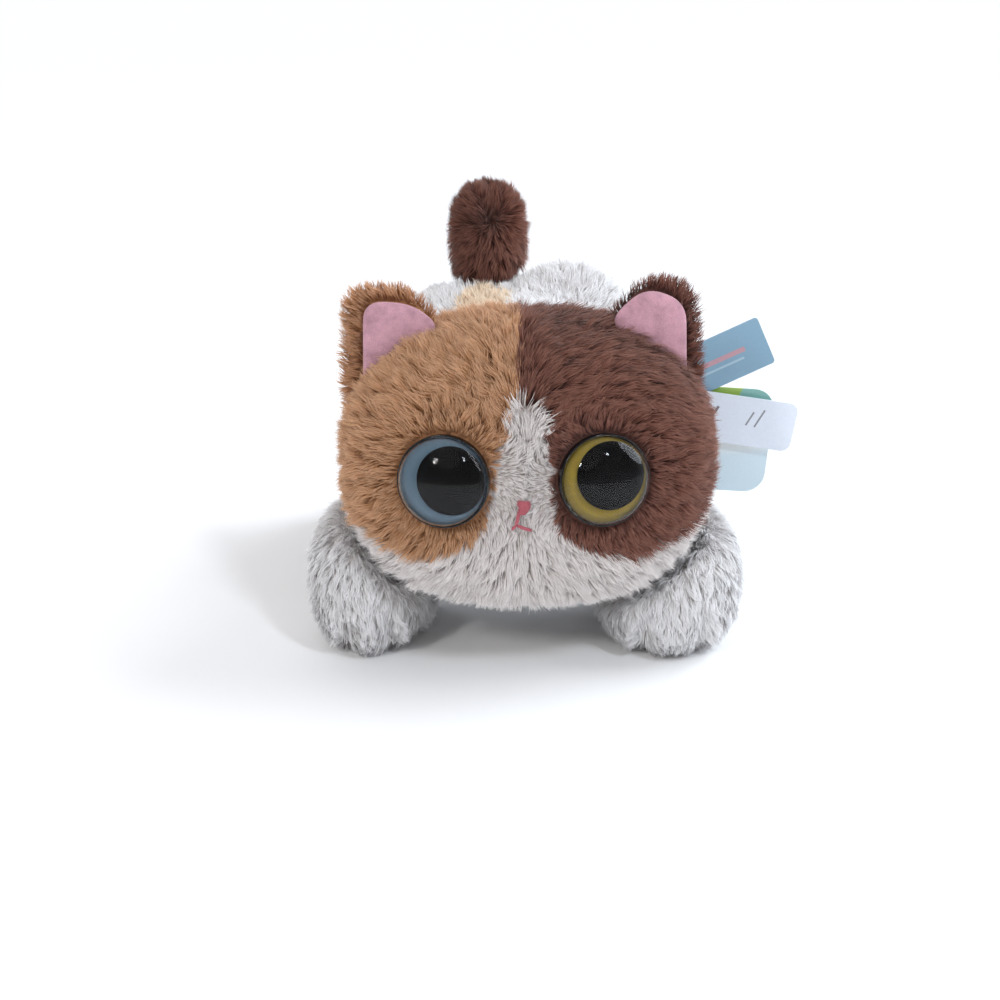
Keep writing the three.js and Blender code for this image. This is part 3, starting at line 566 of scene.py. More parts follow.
def torso_field(points, grow=0.0):
    upper = pillow(points, TORSO, grow)
    upper = soft_union(upper, pillow(points, RUMP_RIGHT, grow), 14)
    return soft_union(upper, pillow(points, RUMP_LEFT, grow), 14)


def body_field(points):
    half_width = BELLY["half_width"] - 1.2
    torso = torso_field(points, -PILE)
    for side in (-1, 1):
        inner, outer = sorted((side * (half_width + 1), side * 140))
        torso = soft_cut(torso, soft_block(points, (inner, -140, -60), (outer, 200, 69), 4), 6)
    belly = soft_block(
        points,
        (-half_width, BELLY["front"] + 2, BELLY["bottom"] + 1),
        (half_width, BELLY["rear"] - 1, BELLY["top"]),
        8,
    )
    return soft_union(torso, belly, 6)


def head_field(points):
    """The head's pillow, drawn in towards the chin, and hollowed for the chest behind it."""
    drop = np.clip((74 - points[:, 2]) / 52, 0, 1)
    narrowed = points.copy()
    narrowed[:, 0] = points[:, 0] / (1 - 0.17 * drop ** 1.5)
    head = pillow(narrowed, HEAD, -PILE)
    head = soft_cut(head, points[:, 2] - 27.5, 14)
    head = soft_cut(head, torso_field(points, 6), 6)
    chest = soft_block(points, (-42, BELLY["front"] - 6, -40), (42, 90, BELLY["top"] + 5), 8)
    head = soft_cut(head, chest, 6)
    return soft_cut(head, soft_block(points, (-150, -37, -60), (150, 90, 67), 10), 8)


def leg_field(name):
    """A stuffed paw, flat underneath.

    A front one has two toe creases, room for the head above, and a low stretch over its core's instep.
    """
    shape = LEGS[name]
    x, y, _ = shape["centre"]
    front = name.startswith("front")

    def field(points):
        leg = pillow(points, shape, -3.2)
        if front:
            toes = np.clip((y - 12 - points[:, 1]) / 14, 0, 1) * np.clip((30 - points[:, 2]) / 14, 0, 1)
            for offset in (-0.34, 0.34):
                crease = (points[:, 0] - x - offset * shape["radii"][0]) / 2.6
                leg = leg + 3.4 * toes * np.exp(-crease ** 2)
            room = soft_block(points, (-150, -26, -60), (150, 90, 78), 4)
            leg = soft_cut(leg, soft_cut(pillow(points, HEAD, 2), room, 4), 4)
            inner, outer = sorted((np.sign(x) * 41, x + np.sign(x) * 2))
            instep = soft_block(points, (inner, y, 2.5), (outer, -13.5, 14), 4.5)
            leg = soft_union(leg, instep, 5)
            edge = BELLY["half_width"] + 3.5
            leg = soft_cut(leg, soft_block(points, (-edge, BELLY["front"] - 6, -20), (edge, 150, 90), 3), 3)
        return np.maximum(leg, 0.8 - points[:, 2])

    return field


def cuff_field(side):
    """The padded sleeve round a front leg's stiff core, at its inner rear side."""
    inner, outer = sorted((side * 38.5, side * 53))

    def field(points):
        return soft_block(points, (inner, -30.5, 3.5), (outer, -13.5, 54), 5.5)

    return field


def tail_field(points):
    """A plump stub with a sewn seam down its front, clear of the rump all through its wag."""
    x, y, _ = TAIL["centre"]
    tail = pillow(points, TAIL, -PILE)
    facing = np.clip((y - points[:, 1]) / 6, 0, 1)
    seam = np.clip((points[:, 2] - 146) / 10, 0, 1)
    tail = tail + 2.6 * facing * seam * np.exp(-((points[:, 0] - x - 1.5) / 2.4) ** 2)
    pivot = np.array(TAIL_PIVOT, float)
    for degrees in (-WAG_DEGREES, 0, WAG_DEGREES):
        turn = np.array(Matrix.Rotation(math.radians(degrees), 3, "Y"))
        tail = soft_cut(tail, torso_field((points - pivot) @ turn.T + pivot, 2), 3)
    return tail


# ---- Cloth skins ----
def object_from(name, vertices, faces):
    mesh = bpy.data.meshes.new(name)
    mesh.from_pydata(vertices, [], faces)
    mesh.update()
    mesh.polygons.foreach_set("use_smooth", [True] * len(mesh.polygons))
    return linked(name, mesh)


def values_of(items, key, kind=float):
    """A row of three numbers for each item of a mesh."""
    flat = np.empty(len(items) * 3, kind)
    items.foreach_get(key, flat)
    return flat.reshape(-1, 3)


def vertices_of(obj):
    return values_of(obj.data.vertices, "co")


def set_vertices(obj, points):
    obj.data.vertices.foreach_set("co", np.ascontiguousarray(points, float).ravel())
    obj.data.update()


def skin(name, centre, field, divisions, reach=160.0):
    """A closed cloth surface where the field is zero, seen along rays from its centre."""
    sphere = bmesh.new()
    bmesh.ops.create_icosphere(sphere, subdivisions=divisions, radius=1)
    rays = np.array([v.co for v in sphere.verts])
    faces = [[v.index for v in face.verts] for face in sphere.faces]
    sphere.free()
    rays /= np.linalg.norm(rays, axis=1)[:, None]
    near, far = np.zeros(len(rays)), np.full(len(rays), reach)
    found = np.zeros(len(rays), bool)
    for step in np.linspace(0, reach, 120)[1:]:
        outside = field(np.array(centre) + rays * step) > 0
        far[outside & ~found] = step
        found |= outside
        near[~found] = step
    for _ in range(18):
        half = (near + far) / 2
        outside = field(np.array(centre) + rays * half[:, None]) > 0
        far = np.where(outside, half, far)
        near = np.where(outside, near, half)
    surface = np.array(centre) + rays * near[:, None]
    return object_from(name, placed(surface), faces)


def inflate(obj, cap, pressure=4.0, frames=20):
    """Blow the cloth up from inside, with no point moving further than cap millimetres."""
    rest = vertices_of(obj)
    scene = bpy.context.scene
    cloth = obj.modifiers.new("cloth", "CLOTH")
    choices = {
        "use_pressure": True, "uniform_pressure_force": pressure, "quality": 5, "mass": 0.3,
        "tension_stiffness": 15, "compression_stiffness": 15, "bending_stiffness": 0.5,
    }
    for key, value in choices.items():
        setattr(cloth.settings, key, value)
    cloth.settings.effector_weights.gravity = 0
    cloth.collision_settings.use_collision = False
    cloth.point_cache.frame_end = frames
    for number in range(1, frames + 1):
        scene.frame_set(number)
    blown = vertices_of(obj.evaluated_get(bpy.context.evaluated_depsgraph_get()))
    obj.modifiers.remove(cloth)
    scene.frame_set(1)
    shift = blown - rest
    length = np.linalg.norm(shift, axis=1)
    shift *= np.minimum(1, cap * MM / np.maximum(length, 1e-9))[:, None]
    set_vertices(obj, rest + shift)


def paint_patches(obj, colour_of):
    """Dye the cloth under the pile in its coat's hue, halfway between the pile's root and middle colours,
    darker as painted shade for the gaps between strands: colour_of gives each point a coat name.
    """
    points = (vertices_of(obj) - ORIGIN) / MM
    names = colour_of(points)
    colours = np.ones((len(points), 4))
    for coat, (root, body, _, _) in COATS.items():
        colours[names == coat, :3] = (np.array(root) + np.array(body)) / 2
    layer = obj.data.color_attributes.new("patch", "FLOAT_COLOR", "POINT")
    layer.data.foreach_set("color", colours.ravel())


def finish(piece, material, body, slot, *nodes):
    """Give a piece its material and its body, and hide the CAD nodes that it stands for, if any. Its slot is
    not used.
    """
    piece.data.materials.append(material)
    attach(piece, body)
    if nodes:
        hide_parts(*nodes)


def finish_skin(cloth, body, coat_of, slot, fill, *nodes):
    paint_patches(cloth, coat_of)
    finish(cloth, BACKING, body, slot, *nodes)


# ---- Pile ----
MOST_STRANDS = 39000  # in one piece


def surface_samples(obj, density, rng, keep):
    """Roots spread evenly over a skin, with their normals, where keep allows them."""
    mesh = obj.data
    mesh.calc_loop_triangles()
    triangles = values_of(mesh.loop_triangles, "vertices", int)
    normals = values_of(mesh.vertices, "normal")
    points = (vertices_of(obj) - ORIGIN) / MM
    a, b, c = (points[triangles[:, k]] for k in range(3))
    areas = np.linalg.norm(np.cross(b - a, c - a), axis=1) / 2
    count = int(areas.sum() * density)
    chosen = rng.choice(len(triangles), size=count, p=areas / areas.sum())
    u, v = rng.random(count), rng.random(count)
    over = u + v > 1
    u[over], v[over] = 1 - u[over], 1 - v[over]
    weights = np.stack([1 - u - v, u, v], 1)[:, :, None]
    roots = (points[triangles[chosen]] * weights).sum(1)
    up = unit((normals[triangles[chosen]] * weights).sum(1))
    kept = keep(roots, up)
    return roots[kept], up[kept]


def unit(vectors):
    return vectors / np.maximum(np.linalg.norm(vectors, axis=1), 1e-9)[:, None]


def waves(points, scale, phase):
    """A smooth wandering number between about -1 and 1, in three dimensions."""
    x, y, z = (points / scale).T
    return (
        np.sin(x + 1.7 * np.sin(y * 0.8 + phase)) + np.sin(y * 1.1 + 1.3 * np.sin(z * 0.9 + 2 * phase))
        + np.sin(z * 1.2 + 1.5 * np.sin(x * 0.7 + 3 * phase))
    ) / 3


def tufts(roots, size):
    """A number for the little tuft that each root belongs to."""
    warp = np.sin(roots[:, [1, 2, 0]] * 0.31) * 1.7 + np.sin(roots[:, [2, 0, 1]] * 0.13 + 1) * 3
    cells = np.floor((roots + warp) / size).astype(int)
    _, number = np.unique(cells, axis=0, return_inverse=True)
    return number.ravel()


def tuft_mean(values, number):
    counts = np.bincount(number)[:, None]
    sums = np.stack([np.bincount(number, values[:, k]) for k in range(values.shape[1])], 1)
    return (sums / counts)[number]


def strand_paths(roots, up, comb, length, rng, lean, clump, tuft_size, sag):
    """Four points along each strand, in millimetres, and each strand's own shade."""
    count = len(roots)
    tangent = unit(comb - (comb * up).sum(1)[:, None] * up)
    side = np.cross(up, tangent)
    number = tufts(roots, tuft_size)
    tuft_random = rng.random(number.max() + 1)[number]
    tuft_turn = (rng.normal(size=(number.max() + 1, 2)) * [0.16, 0.2])[number]
    strand_turn = rng.normal(size=(count, 2)) * [0.1, 0.12]
    stray = rng.random(count) < 0.05
    strand_turn[stray] *= 3.2
    turn = tuft_turn + strand_turn
    tilt = np.clip(lean + turn[:, 0] + 0.12 * waves(roots, 7, 2.0), 0.1, 1.42)
    heading_turn = turn[:, 1] * 1.5 + 0.35 * waves(roots, 11, 0.5)
    heading = unit(tangent * np.cos(heading_turn)[:, None] + side * np.sin(heading_turn)[:, None])
    long = length * (0.72 + 0.42 * rng.random(count)) * (0.9 + 0.2 * tuft_random)
    points = [roots]
    direction = unit(up * np.cos(tilt * 0.55)[:, None] + heading * np.sin(tilt * 0.55)[:, None])
    for share, extra in ((0.3, 0.85), (0.35, 1.1), (0.35, 1.2)):
        points.append(points[-1] + direction * (long * share)[:, None])
        angle = np.clip(tilt * extra, 0, 1.48)
        direction = up * np.cos(angle)[:, None] + heading * np.sin(angle)[:, None]
        direction = unit(direction + np.array([0, 0, -sag]))
    for index, pull in ((1, 0.12), (2, 0.4), (3, 0.7)):
        centre = tuft_mean(points[index], number)
        points[index] = points[index] + (centre - points[index]) * pull * clump
    shade = 0.4 * tuft_random + 0.4 * rng.random(count) + 0.2 * (0.5 + 0.5 * waves(roots, 9, 1.1))
    return points, shade


def make_pile(name, coat, paths, shade, up, rng, width):
    """Ribbon strands as one mesh: two quads and a pointed tip each."""
    count = len(paths[0])
    twist = rng.normal(size=count) * 0.35
    along = unit(paths[2] - paths[0])
    across = unit(np.cross(along, up))
    other = np.cross(along, across)
    across = across * np.cos(twist)[:, None] + other * np.sin(twist)[:, None]
    wide = width * (0.75 + 0.5 * rng.random(count))[:, None]
    rows = []
    for index, share in ((0, 0.8), (1, 1.0), (2, 0.8)):
        rows.append(paths[index] - across * wide * share / 2)
        rows.append(paths[index] + across * wide * share / 2)
    rows.append(paths[3])
    vertices = np.stack(rows, 1)
    vertices[:, :, 2] = np.maximum(vertices[:, :, 2], 0.25)
    vertices = ORIGIN + vertices.reshape(-1, 3) * MM
    corners = np.array([0, 1, 3, 2, 2, 3, 5, 4, 4, 5, 6])
    loops = (np.arange(count) * 7)[:, None] + corners
    starts = (np.arange(count) * 11)[:, None] + np.array([0, 4, 8])
    mesh = bpy.data.meshes.new(name)
    mesh.vertices.add(count * 7)
    mesh.vertices.foreach_set("co", vertices.ravel())
    mesh.loops.add(count * 11)
    mesh.loops.foreach_set("vertex_index", loops.ravel().astype(np.int32))
    mesh.polygons.add(count * 3)
    mesh.polygons.foreach_set("loop_start", starts.ravel().astype(np.int32))
    mesh.polygons.foreach_set("loop_total", np.tile([4, 4, 3], count).astype(np.int32))
    mesh.polygons.foreach_set("use_smooth", np.ones(count * 3, bool))
    mesh.update(calc_edges=True)
    # Height along each strand: near 0 the material paints the root's shade.
    heights = np.array([0, 0, 0.3, 0.3, 0.65, 0.65, 1])
    colours = np.zeros((count, 7, 4))
    colours[:, :, 0] = heights
    colours[:, :, 1] = shade[:, None]
    colours[:, :, 3] = 1
    layer = mesh.color_attributes.new("strand", "FLOAT_COLOR", "POINT")
    layer.data.foreach_set("color", colours.ravel())
    add_shade_map(mesh, corners, heights, shade)
    mesh.materials.append(FUR[coat])
    return linked(name, mesh)


def add_shade_map(mesh, corners, heights, shade):
    """A UV map whose two axes are what colours a strand: its own shade, and the height along it."""
    layer = mesh.uv_layers.new(name="OFBake")
    across = np.repeat(0.02 + 0.96 * shade, len(corners))
    upward = np.tile(0.02 + 0.96 * heights[corners], len(shade))
    nudge = np.tile(np.where(corners % 2 == 1, 0.004, -0.004), len(shade))
    layer.data.foreach_set("uv", np.stack([across + nudge, upward], 1).ravel())


def grow_pile(prefix, cloth, body, density, length, comb, coat_of, seed, *, lean=1.0, keep=None,
              clump=0.5, tuft_size=3.0, sag=0.1, width=0.27, lighter=None):
    """Pile over one skin, as pieces of one colour each. Density is strands per square millimetre."""
    rng = np.random.default_rng(SEED + seed)
    keep = keep or (lambda roots, up: np.ones(len(roots), bool))
    roots, up = surface_samples(cloth, density * (1.0), rng, keep)
    wide = width * 1.0
    lengths = length(roots) if callable(length) else np.full(len(roots), float(length))
    paths, shade = strand_paths(
        roots, up, comb(roots, up), lengths, rng, lean, clump, tuft_size, sag)
    if lighter is not None:
        shade = np.clip(shade + lighter(roots), 0, 1)
    names = coat_of(roots)
    for coat in sorted(set(names)):
        own = np.flatnonzero(names == coat)
        parts = math.ceil(len(own) / MOST_STRANDS)
        for number, chosen in enumerate(np.array_split(own, parts)):
            label = f"{prefix}_{coat}" + (f"_{number + 1}" if parts > 1 else "")
            piece = make_pile(label, coat, [p[chosen] for p in paths], shade[chosen], up[chosen], rng, wide)
            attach(piece, body)


def all_of(coat):
    return lambda points: np.full(len(points), coat, dtype="<U6")


# ---- Coat pattern ----
BLAZE = {  # half widths of the white blaze at heights up the face, left and right of its middle
    "height": (30, 52, 57, 60, 64, 69, 74, 87, 100, 108, 114),
    "left": (90, 70, 36, 27, 21, 16, 13.5, 12, 9.2, 5.6, 1.5),
    "right": (90, 70, 38, 27, 19.7, 14, 11.6, 11, 9.6, 6.6, 2),
}


def head_coat(points):
    """Orange on one side, brown on the other, and a white blaze that widens into the muzzle; the blaze and
    the chin take a warmer white that is greyed as painted shade.
    """
    x, y, z = points[:, 0] - FACE_X, points[:, 1], points[:, 2]
    wobble = 0.9 * np.sin(z * 0.35) + 0.6 * np.sin(z * 0.83 + 1)
    left = np.interp(z, BLAZE["height"], BLAZE["left"]) + wobble * 0.6
    right = np.interp(z, BLAZE["height"], BLAZE["right"]) + wobble * 0.6
    in_blaze = (z < BLAZE["height"][-1]) & (x > -left) & (x < right) & (y < -52)
    under = z < 57 + 0.0104 * np.maximum(np.abs(x) - 34, 0) ** 2 + wobble
    names = np.where(x < wobble * 0.7 - 1.2, "orange", "brown")
    # The blaze and the chin: warmer white, greyed as painted shade on the front of the face.
    return np.where(in_blaze | under, "cream", names)


def body_coat(points):
    """White, with one pale peach patch in the middle of the back."""
    x, y, z = points.T
    patch = ((x + 14) / 12) ** 2 + ((y - 36) / 24) ** 2 < 1 + 0.15 * np.sin(x * 0.5) * np.sin(y * 0.4)
    return np.where(patch & (z > 90), "peach", "white")


# ---- Head ----
def eye_matrix(side):
    spot = place(FACE_X + side * EYE["spread"], EYE["y"], EYE["z"])
    turn = Matrix.Rotation(math.radians(side * EYE["yaw"]), 4, "Z")
    tip = Matrix.Rotation(math.radians(90 - EYE["pitch"]), 4, "X")
    return Matrix.Translation(Vector(spot)) @ turn @ tip


def away_from_eyes(points):
    """Each point's distance from the nearer eye's axis, and the direction straight off it."""
    best = np.full(len(points), np.inf)
    direction = np.zeros((len(points), 3))
    for _, side in SIDES:
        matrix = np.array(eye_matrix(side))
        centre, axis = (matrix[:3, 3] - ORIGIN) / MM, matrix[:3, 2]
        offset = points - centre
        offset = offset - (offset @ axis)[:, None] * axis
        distance = np.linalg.norm(offset, axis=1)
        nearer = distance < best
        best = np.where(nearer, distance, best)
        direction = np.where(nearer[:, None], unit(offset), direction)
    return best, direction


def head_comb(roots, up):
    """Fur lies away from the nose, straight across the brown brow, and swings off round the eyes."""
    radial = unit(roots - np.array([NOSE[0], -80, NOSE[2] + 4]))
    brow = np.clip((roots[:, 2] - 88) / 20, 0, 1)[:, None]
    brown = np.clip((roots[:, 0] - FACE_X) / 8, 0, 1)[:, None]
    across = np.array([1.0, 0, -0.1])
    radial = radial * (1 - 0.75 * brow * brown) + across * 0.75 * brow * brown
    distance, off = away_from_eyes(roots)
    near = np.clip((31 - distance) / 13, 0, 1)[:, None] * (roots[:, 1] < FACE_REAR)[:, None]
    return radial * (1 - near) + off * near


def head_keep(roots, up):
    distance, _ = away_from_eyes(roots)
    front = roots[:, 1] < FACE_REAR
    clear_of_eyes = ~front | (distance > EYE["radius"] + 0.2)
    nose = (np.abs(roots[:, 0] - FACE_X) < 2.4) & (np.abs(roots[:, 2] - 78.5) < 2.4) & front
    hidden = (roots[:, 1] > -38) & (torso_field(roots, 12) < 0)
    return clear_of_eyes & ~nose & ~hidden


def head_length(roots):
    from_nose = np.linalg.norm(roots - np.array(NOSE), axis=1)
    from_eye, _ = away_from_eyes(roots)
    long = np.interp(from_nose, [0, 12, 30, 60], [3.2, 4.6, 8.5, 10.5])
    beside_eye = np.where(roots[:, 1] < FACE_REAR, np.interp(from_eye, [17, 30], [0.55, 1.0]), 1.0)
    chin = 1 - 0.15 * np.clip((48 - roots[:, 2]) / 20, 0, 1)
    return long * beside_eye * chin


def make_head():
    cloth = skin("head_skin", (0, -58, 84), head_field, 6)
    inflate(cloth, 1.2)
    finish_skin(cloth, "head", head_coat, "white_fur", 0.8, "head_plush")
    grow_pile(
        "head_fur", cloth, "head", 3.3, head_length, head_comb, head_coat, 1, lean=1.14, keep=head_keep)


# ---- Ears ----
def rounded(corners, radius, spacing=1.4):
    """A polygon's outline with rounded corners, as points about spacing apart."""
    corners = np.array(corners, float)
    centre = corners.mean(0)
    order = np.argsort(np.arctan2(*(corners - centre).T[::-1]))
    corners = corners[order]
    outline = []
    for before, corner, after in zip(np.roll(corners, 1, 0), corners, np.roll(corners, -1, 0)):
        to_before, to_after = before - corner, after - corner
        start = corner + to_before * min(radius / np.linalg.norm(to_before), 0.46)
        end = corner + to_after * min(radius / np.linalg.norm(to_after), 0.46)
        if outline:
            outline += straight(outline[-1], start, spacing)
        for t in np.linspace(0, 1, 8):
            outline.append((1 - t) ** 2 * start + 2 * t * (1 - t) * corner + t ** 2 * end)
    outline += straight(outline[-1], outline[0], spacing)
    return np.array(outline)


def straight(start, end, spacing):
    """Points between two ends, leaving both out."""
    count = max(1, int(np.linalg.norm(end - start) / spacing))
    return [start + (end - start) * k / count for k in range(1, count)]


def stuffed_plate(name, outline, y, half_thickness, bow, rings=9):
    """A flat pad cut to an outline in XZ: crowned on both faces, and bowed forward away from bow's x."""
    centre = outline.mean(0)
    count = len(outline)
    shares = np.sin(np.linspace(np.pi / 2, 0.06, rings))
    layers = []
    for face in (-1, 1):
        for share in shares if face < 0 else shares[1:]:
            flat = centre + (outline - centre) * share
            swell = half_thickness * (1 - share ** 2.6) ** 0.55
            curve = 2.2 * ((flat[:, 0] - bow) / 19) ** 2
            depth = y - curve + face * swell
            layers.append(np.column_stack([flat[:, 0], depth, flat[:, 1]]))
    points = np.concatenate(layers)
    faces = []

    def band(a, b, flip):
        for k in range(count):
            n = (k + 1) % count
            quad = [a + k, a + n, b + n, b + k]
            faces.append(quad[::-1] if flip else quad)

    for ring in range(rings - 1):
        band(ring * count, (ring + 1) * count, False)
    faces.append(list(range((rings - 1) * count, rings * count)))
    first_back = rings * count
    band(0, first_back, True)
    for ring in range(rings - 2):
        band(first_back + ring * count, first_back + (ring + 1) * count, True)
    faces.append(list(range(len(points) - count, len(points)))[::-1])
    return object_from(name, placed(points), faces)


def inside(points, outline):
    """True where a point of the XZ plane lies inside the outline."""
    x, z = points[:, 0, None], points[:, 2, None]
    x0, z0 = outline[:, 0], outline[:, 1]
    x1, z1 = np.roll(x0, -1), np.roll(z0, -1)
    crosses = (z0 > z) != (z1 > z)
    span = np.where(z1 == z0, 1e-9, z1 - z0)
    return (crosses & (x < (x1 - x0) * (z - z0) / span + x0)).sum(1) % 2 == 1


def make_ears():
    for number, (name, side) in enumerate(SIDES):
        coat = "orange" if side < 0 else "brown"
        outline = rounded(EARS[name]["fur"], 9)
        centre = outline.mean(0)
        inset = centre + (outline - centre) * 0.88
        cloth = stuffed_plate(f"{name}_ear_skin", inset, EAR_Y, 3.6, centre[0])
        finish_skin(cloth, "head", all_of(coat), f"{coat}_fur", 0.5, f"{name}_ear")
        border = rounded(EARS[name]["lining"], 8)
        covered = border.mean(0) + (border - border.mean(0)) * 0.93
        base = np.array([side * 40.0, EAR_Y, 96.0])

        def comb(roots, up, base=base):
            return unit(roots - base) + np.array([0, 0.25, 0.2])

        def keep(roots, up, covered=covered):
            under_lining = (up[:, 1] < -0.2) & inside(roots, covered)
            return ~under_lining & (pillow(roots, HEAD, -6) > 0)

        grow_pile(
            f"{name}_ear_fur", cloth, "head", 3.6, 6.5, comb, all_of(coat), 30 + number,
            lean=0.95, keep=keep, tuft_size=2.4, width=0.24, lighter=lambda roots: 0.3,
        )
        lining = stuffed_plate(f"{name}_ear_velvet", border, LINING_Y, 2.2, centre[0], rings=14)
        finish(lining, VELVET, "head", "pink_velvet", f"{name}_ear_lining")


# ---- Eyes ----
def lathe(name, profile, matrix, segments=96):
    """A closed turned piece about its own Z axis: its profile starts and ends on the axis."""
    angles = np.arange(segments) * 2 * np.pi / segments
    points, rings = [], []
    for radius, height in profile:
        if radius < 1e-6:
            rings.append([len(points)])
            points.append((0.0, 0.0, height))
        else:
            rings.append(list(range(len(points), len(points) + segments)))
            points += [(radius * math.cos(a), radius * math.sin(a), height) for a in angles]
    faces = []
    for low, high in zip(rings, rings[1:]):
        for k in range(segments):
            n = (k + 1) % segments
            corners = [low[k % len(low)], low[n % len(low)], high[n % len(high)], high[k % len(high)]]
            faces.append(list(dict.fromkeys(corners)))
    rest = np.array(points) * MM
    turned = np.array(matrix)
    return object_from(name, (rest @ turned[:3, :3].T + turned[:3, 3]).tolist(), faces)


def dome(radius, height, low, thickness=0.4, steps=26):
    """A watch glass: a profile out along its hollow face, round its rim and back over its round face."""
    wall = 0.8
    angles = [step / steps * math.pi / 2 for step in range(1, steps)]
    inner, top = radius - thickness, low + wall + height
    points = [(0, top - thickness)]
    foot = low + wall
    hollow = height - thickness
    points += [(inner * math.cos(a), foot + hollow * math.sin(a)) for a in reversed(angles)]
    points += [(inner, foot), (inner, low), (radius, low), (radius, foot)]
    points += [(radius * math.cos(a), foot + height * math.sin(a)) for a in angles]
    return [*points, (0, top)]


def make_eyes():
    cup = [
        (0, -17), (2.4, -17), (2.4, -3), (14.8, -3), (16.3, -2.5), (17.1, -1.4), (17.3, 0), (17.3, 2.9),
        (17.15, 3.25), (16.9, 3.3), (16.7, 3.1), (16.7, 0.15), (0, 0.15),
    ]
    iris = [(0, 0.3), (16.3, 0.3), (16.5, 0.5), (16.5, 1.5), (16.3, 1.9), (12.5, 1.4), (0, 1.3)]
    pupil = [(0, 0), (12.7, 0), (12.9, 0.15), (12.9, 0.4), (12.6, 0.55), (0, 0.75)]
    gaze_shift = {"left": (2.9, 0.3, 1.4), "right": (2.4, 1.4, 1.4)}
    colours = {"left": srgb("566b7a"), "right": srgb("867020")}
    slots = {"left": "blue_iris", "right": "olive_iris"}
    black = gloss_material("black_gloss", srgb("060607"), 0.08)
    rim = gloss_material("black_rim", srgb("101012"), 0.4)
    lens_look = lens_material("clear_dome")
    for name, side in SIDES:
        matrix = eye_matrix(side)
        gaze = matrix @ Matrix.Translation(Vector(gaze_shift[name]) * MM)
        middle_of_iris = matrix @ Vector((0, 0, 1.3 * MM))
        pieces = (
            ("eye_cup", cup, matrix, rim, "black_plastic"),
            ("iris", iris, matrix, iris_material(f"{name}_ring", middle_of_iris, colours[name]), slots[name]),
            ("pupil", pupil, gaze, black, "black_plastic"),
            ("eye_lens", dome(16.6, 8.5, 2.4), matrix, lens_look, "clear_lens"),
        )
        for part, profile, where, material, slot in pieces:
            piece = lathe(f"{name}_{part}_turned", profile, where)
            finish(piece, material, "head", slot, f"{name}_{part}")


# ---- Embroidery ----
def tube(points, radius, sides=8, taper=0.35):
    """Vertices and faces of one thread along the points, drawn in at both ends."""
    points = np.array(points, float)
    count = len(points)
    along = unit(np.gradient(points, axis=0))
    outward = np.tile([0.0, -1.0, 0.0], (count, 1))
    outward = unit(outward - (outward * along).sum(1)[:, None] * along)
    side = np.cross(along, outward)
    share = np.linspace(0, 1, count)
    girth = radius * (taper + (1 - taper) * np.clip(np.minimum(share, 1 - share) * 6, 0, 1))
    angles = np.arange(sides) * 2 * np.pi / sides
    rings = [
        points[k] + girth[k] * (np.cos(angles)[:, None] * outward[k] + np.sin(angles)[:, None] * side[k])
        for k in range(count)
    ]
    faces = []
    for k in range(count - 1):
        for j in range(sides):
            n = (j + 1) % sides
            faces.append([k * sides + j, (k + 1) * sides + j, (k + 1) * sides + n, k * sides + n])
    faces.append(list(range(sides)))
    faces.append([(count - 1) * sides + j for j in reversed(range(sides))])
    return np.concatenate(rings), faces


def threads(name, paths, radius):
    """Many threads as one piece."""
    vertices, faces, first = [], [], 0
    for path in paths:
        ring, sides = tube(path, radius)
        vertices.append(ring)
        faces += [[first + k for k in face] for face in sides]
        first += len(ring)
    points = np.concatenate(vertices)
    return object_from(name, placed(points), faces)


def face_y(x, z):
    """The front of the fur on the face."""
    (wide, deep, high), power = HEAD["radii"], HEAD["power"]
    away = abs(x / wide) ** power + abs((z - HEAD["centre"][2]) / high) ** power
    return HEAD["centre"][1] - deep * (1 - away) ** (1 / power)


def stitch(start, end, rise, steps=9):
    """One stitch across the face from start to end, both (x, z), standing rise proud in its middle."""
    path = []
    for t in np.linspace(0, 1, steps):
        x, z = start[0] + (end[0] - start[0]) * t, start[1] + (end[1] - start[1]) * t
        path.append((x, face_y(x, z) + 1.2 - rise * math.sin(math.pi * t), z))
    return path


def make_nose():
    paths = []
    left, right = FACE_X - 2.9, FACE_X + 2.7
    for row in range(10):
        z = 81.0 - row * 0.54
        share = row / 9
        inset = 0.6 if row == 0 else 0.15 * (row % 2)
        start = left + inset + 1.2 * max(0.0, 0.5 - abs(share - 0.6)) * (share > 0.4)
        end = right - inset - 3.6 * max(0.0, share - 0.5)
        paths.append(stitch((start, z), (end, z - 0.25), 0.9))
    line_x = FACE_X - 2.9
    for offset in (-0.35, 0.0, 0.35):
        paths.append(stitch((line_x + 0.9 + offset, 76.2), (line_x + offset, 71.4), 0.7))
        paths.append(stitch((line_x + 0.1, 71.6 + offset), (line_x - 1.7, 69.7 + offset), 0.5))
        paths.append(stitch((line_x + 0.1, 71.4 + offset), (FACE_X + 3.0, 69.2 + offset), 0.6))
    nose = threads("nose_and_mouth_stitches", paths, 0.36)
    finish(nose, thread_material("rose_thread", srgb("b0505c")), "head", "pink_thread", "nose_and_mouth")


# ---- Body, legs and tail ----
def body_comb(roots, up):
    back = np.array([0, 1.0, -0.35])
    down = np.array([0, 0.25, -1.0])
    share = np.clip((100 - roots[:, 2]) / 50, 0, 1)[:, None]
    return back * (1 - share) + down * share


def body_keep(roots, up):
    opening = (np.abs(roots[:, 0]) < CASING["half_width"] + 1.5) & (roots[:, 2] < 36)
    from_tail = np.abs(roots[:, :2] - np.array(TAIL_PIVOT[:2]))
    tail_root = (from_tail < 6).all(1) & (roots[:, 2] > 100)
    inside_head = (roots[:, 1] < -24) & (pillow(roots, HEAD, -16) < 0)
    return ~(opening & (up[:, 2] < -0.5)) & ~tail_root & ~inside_head


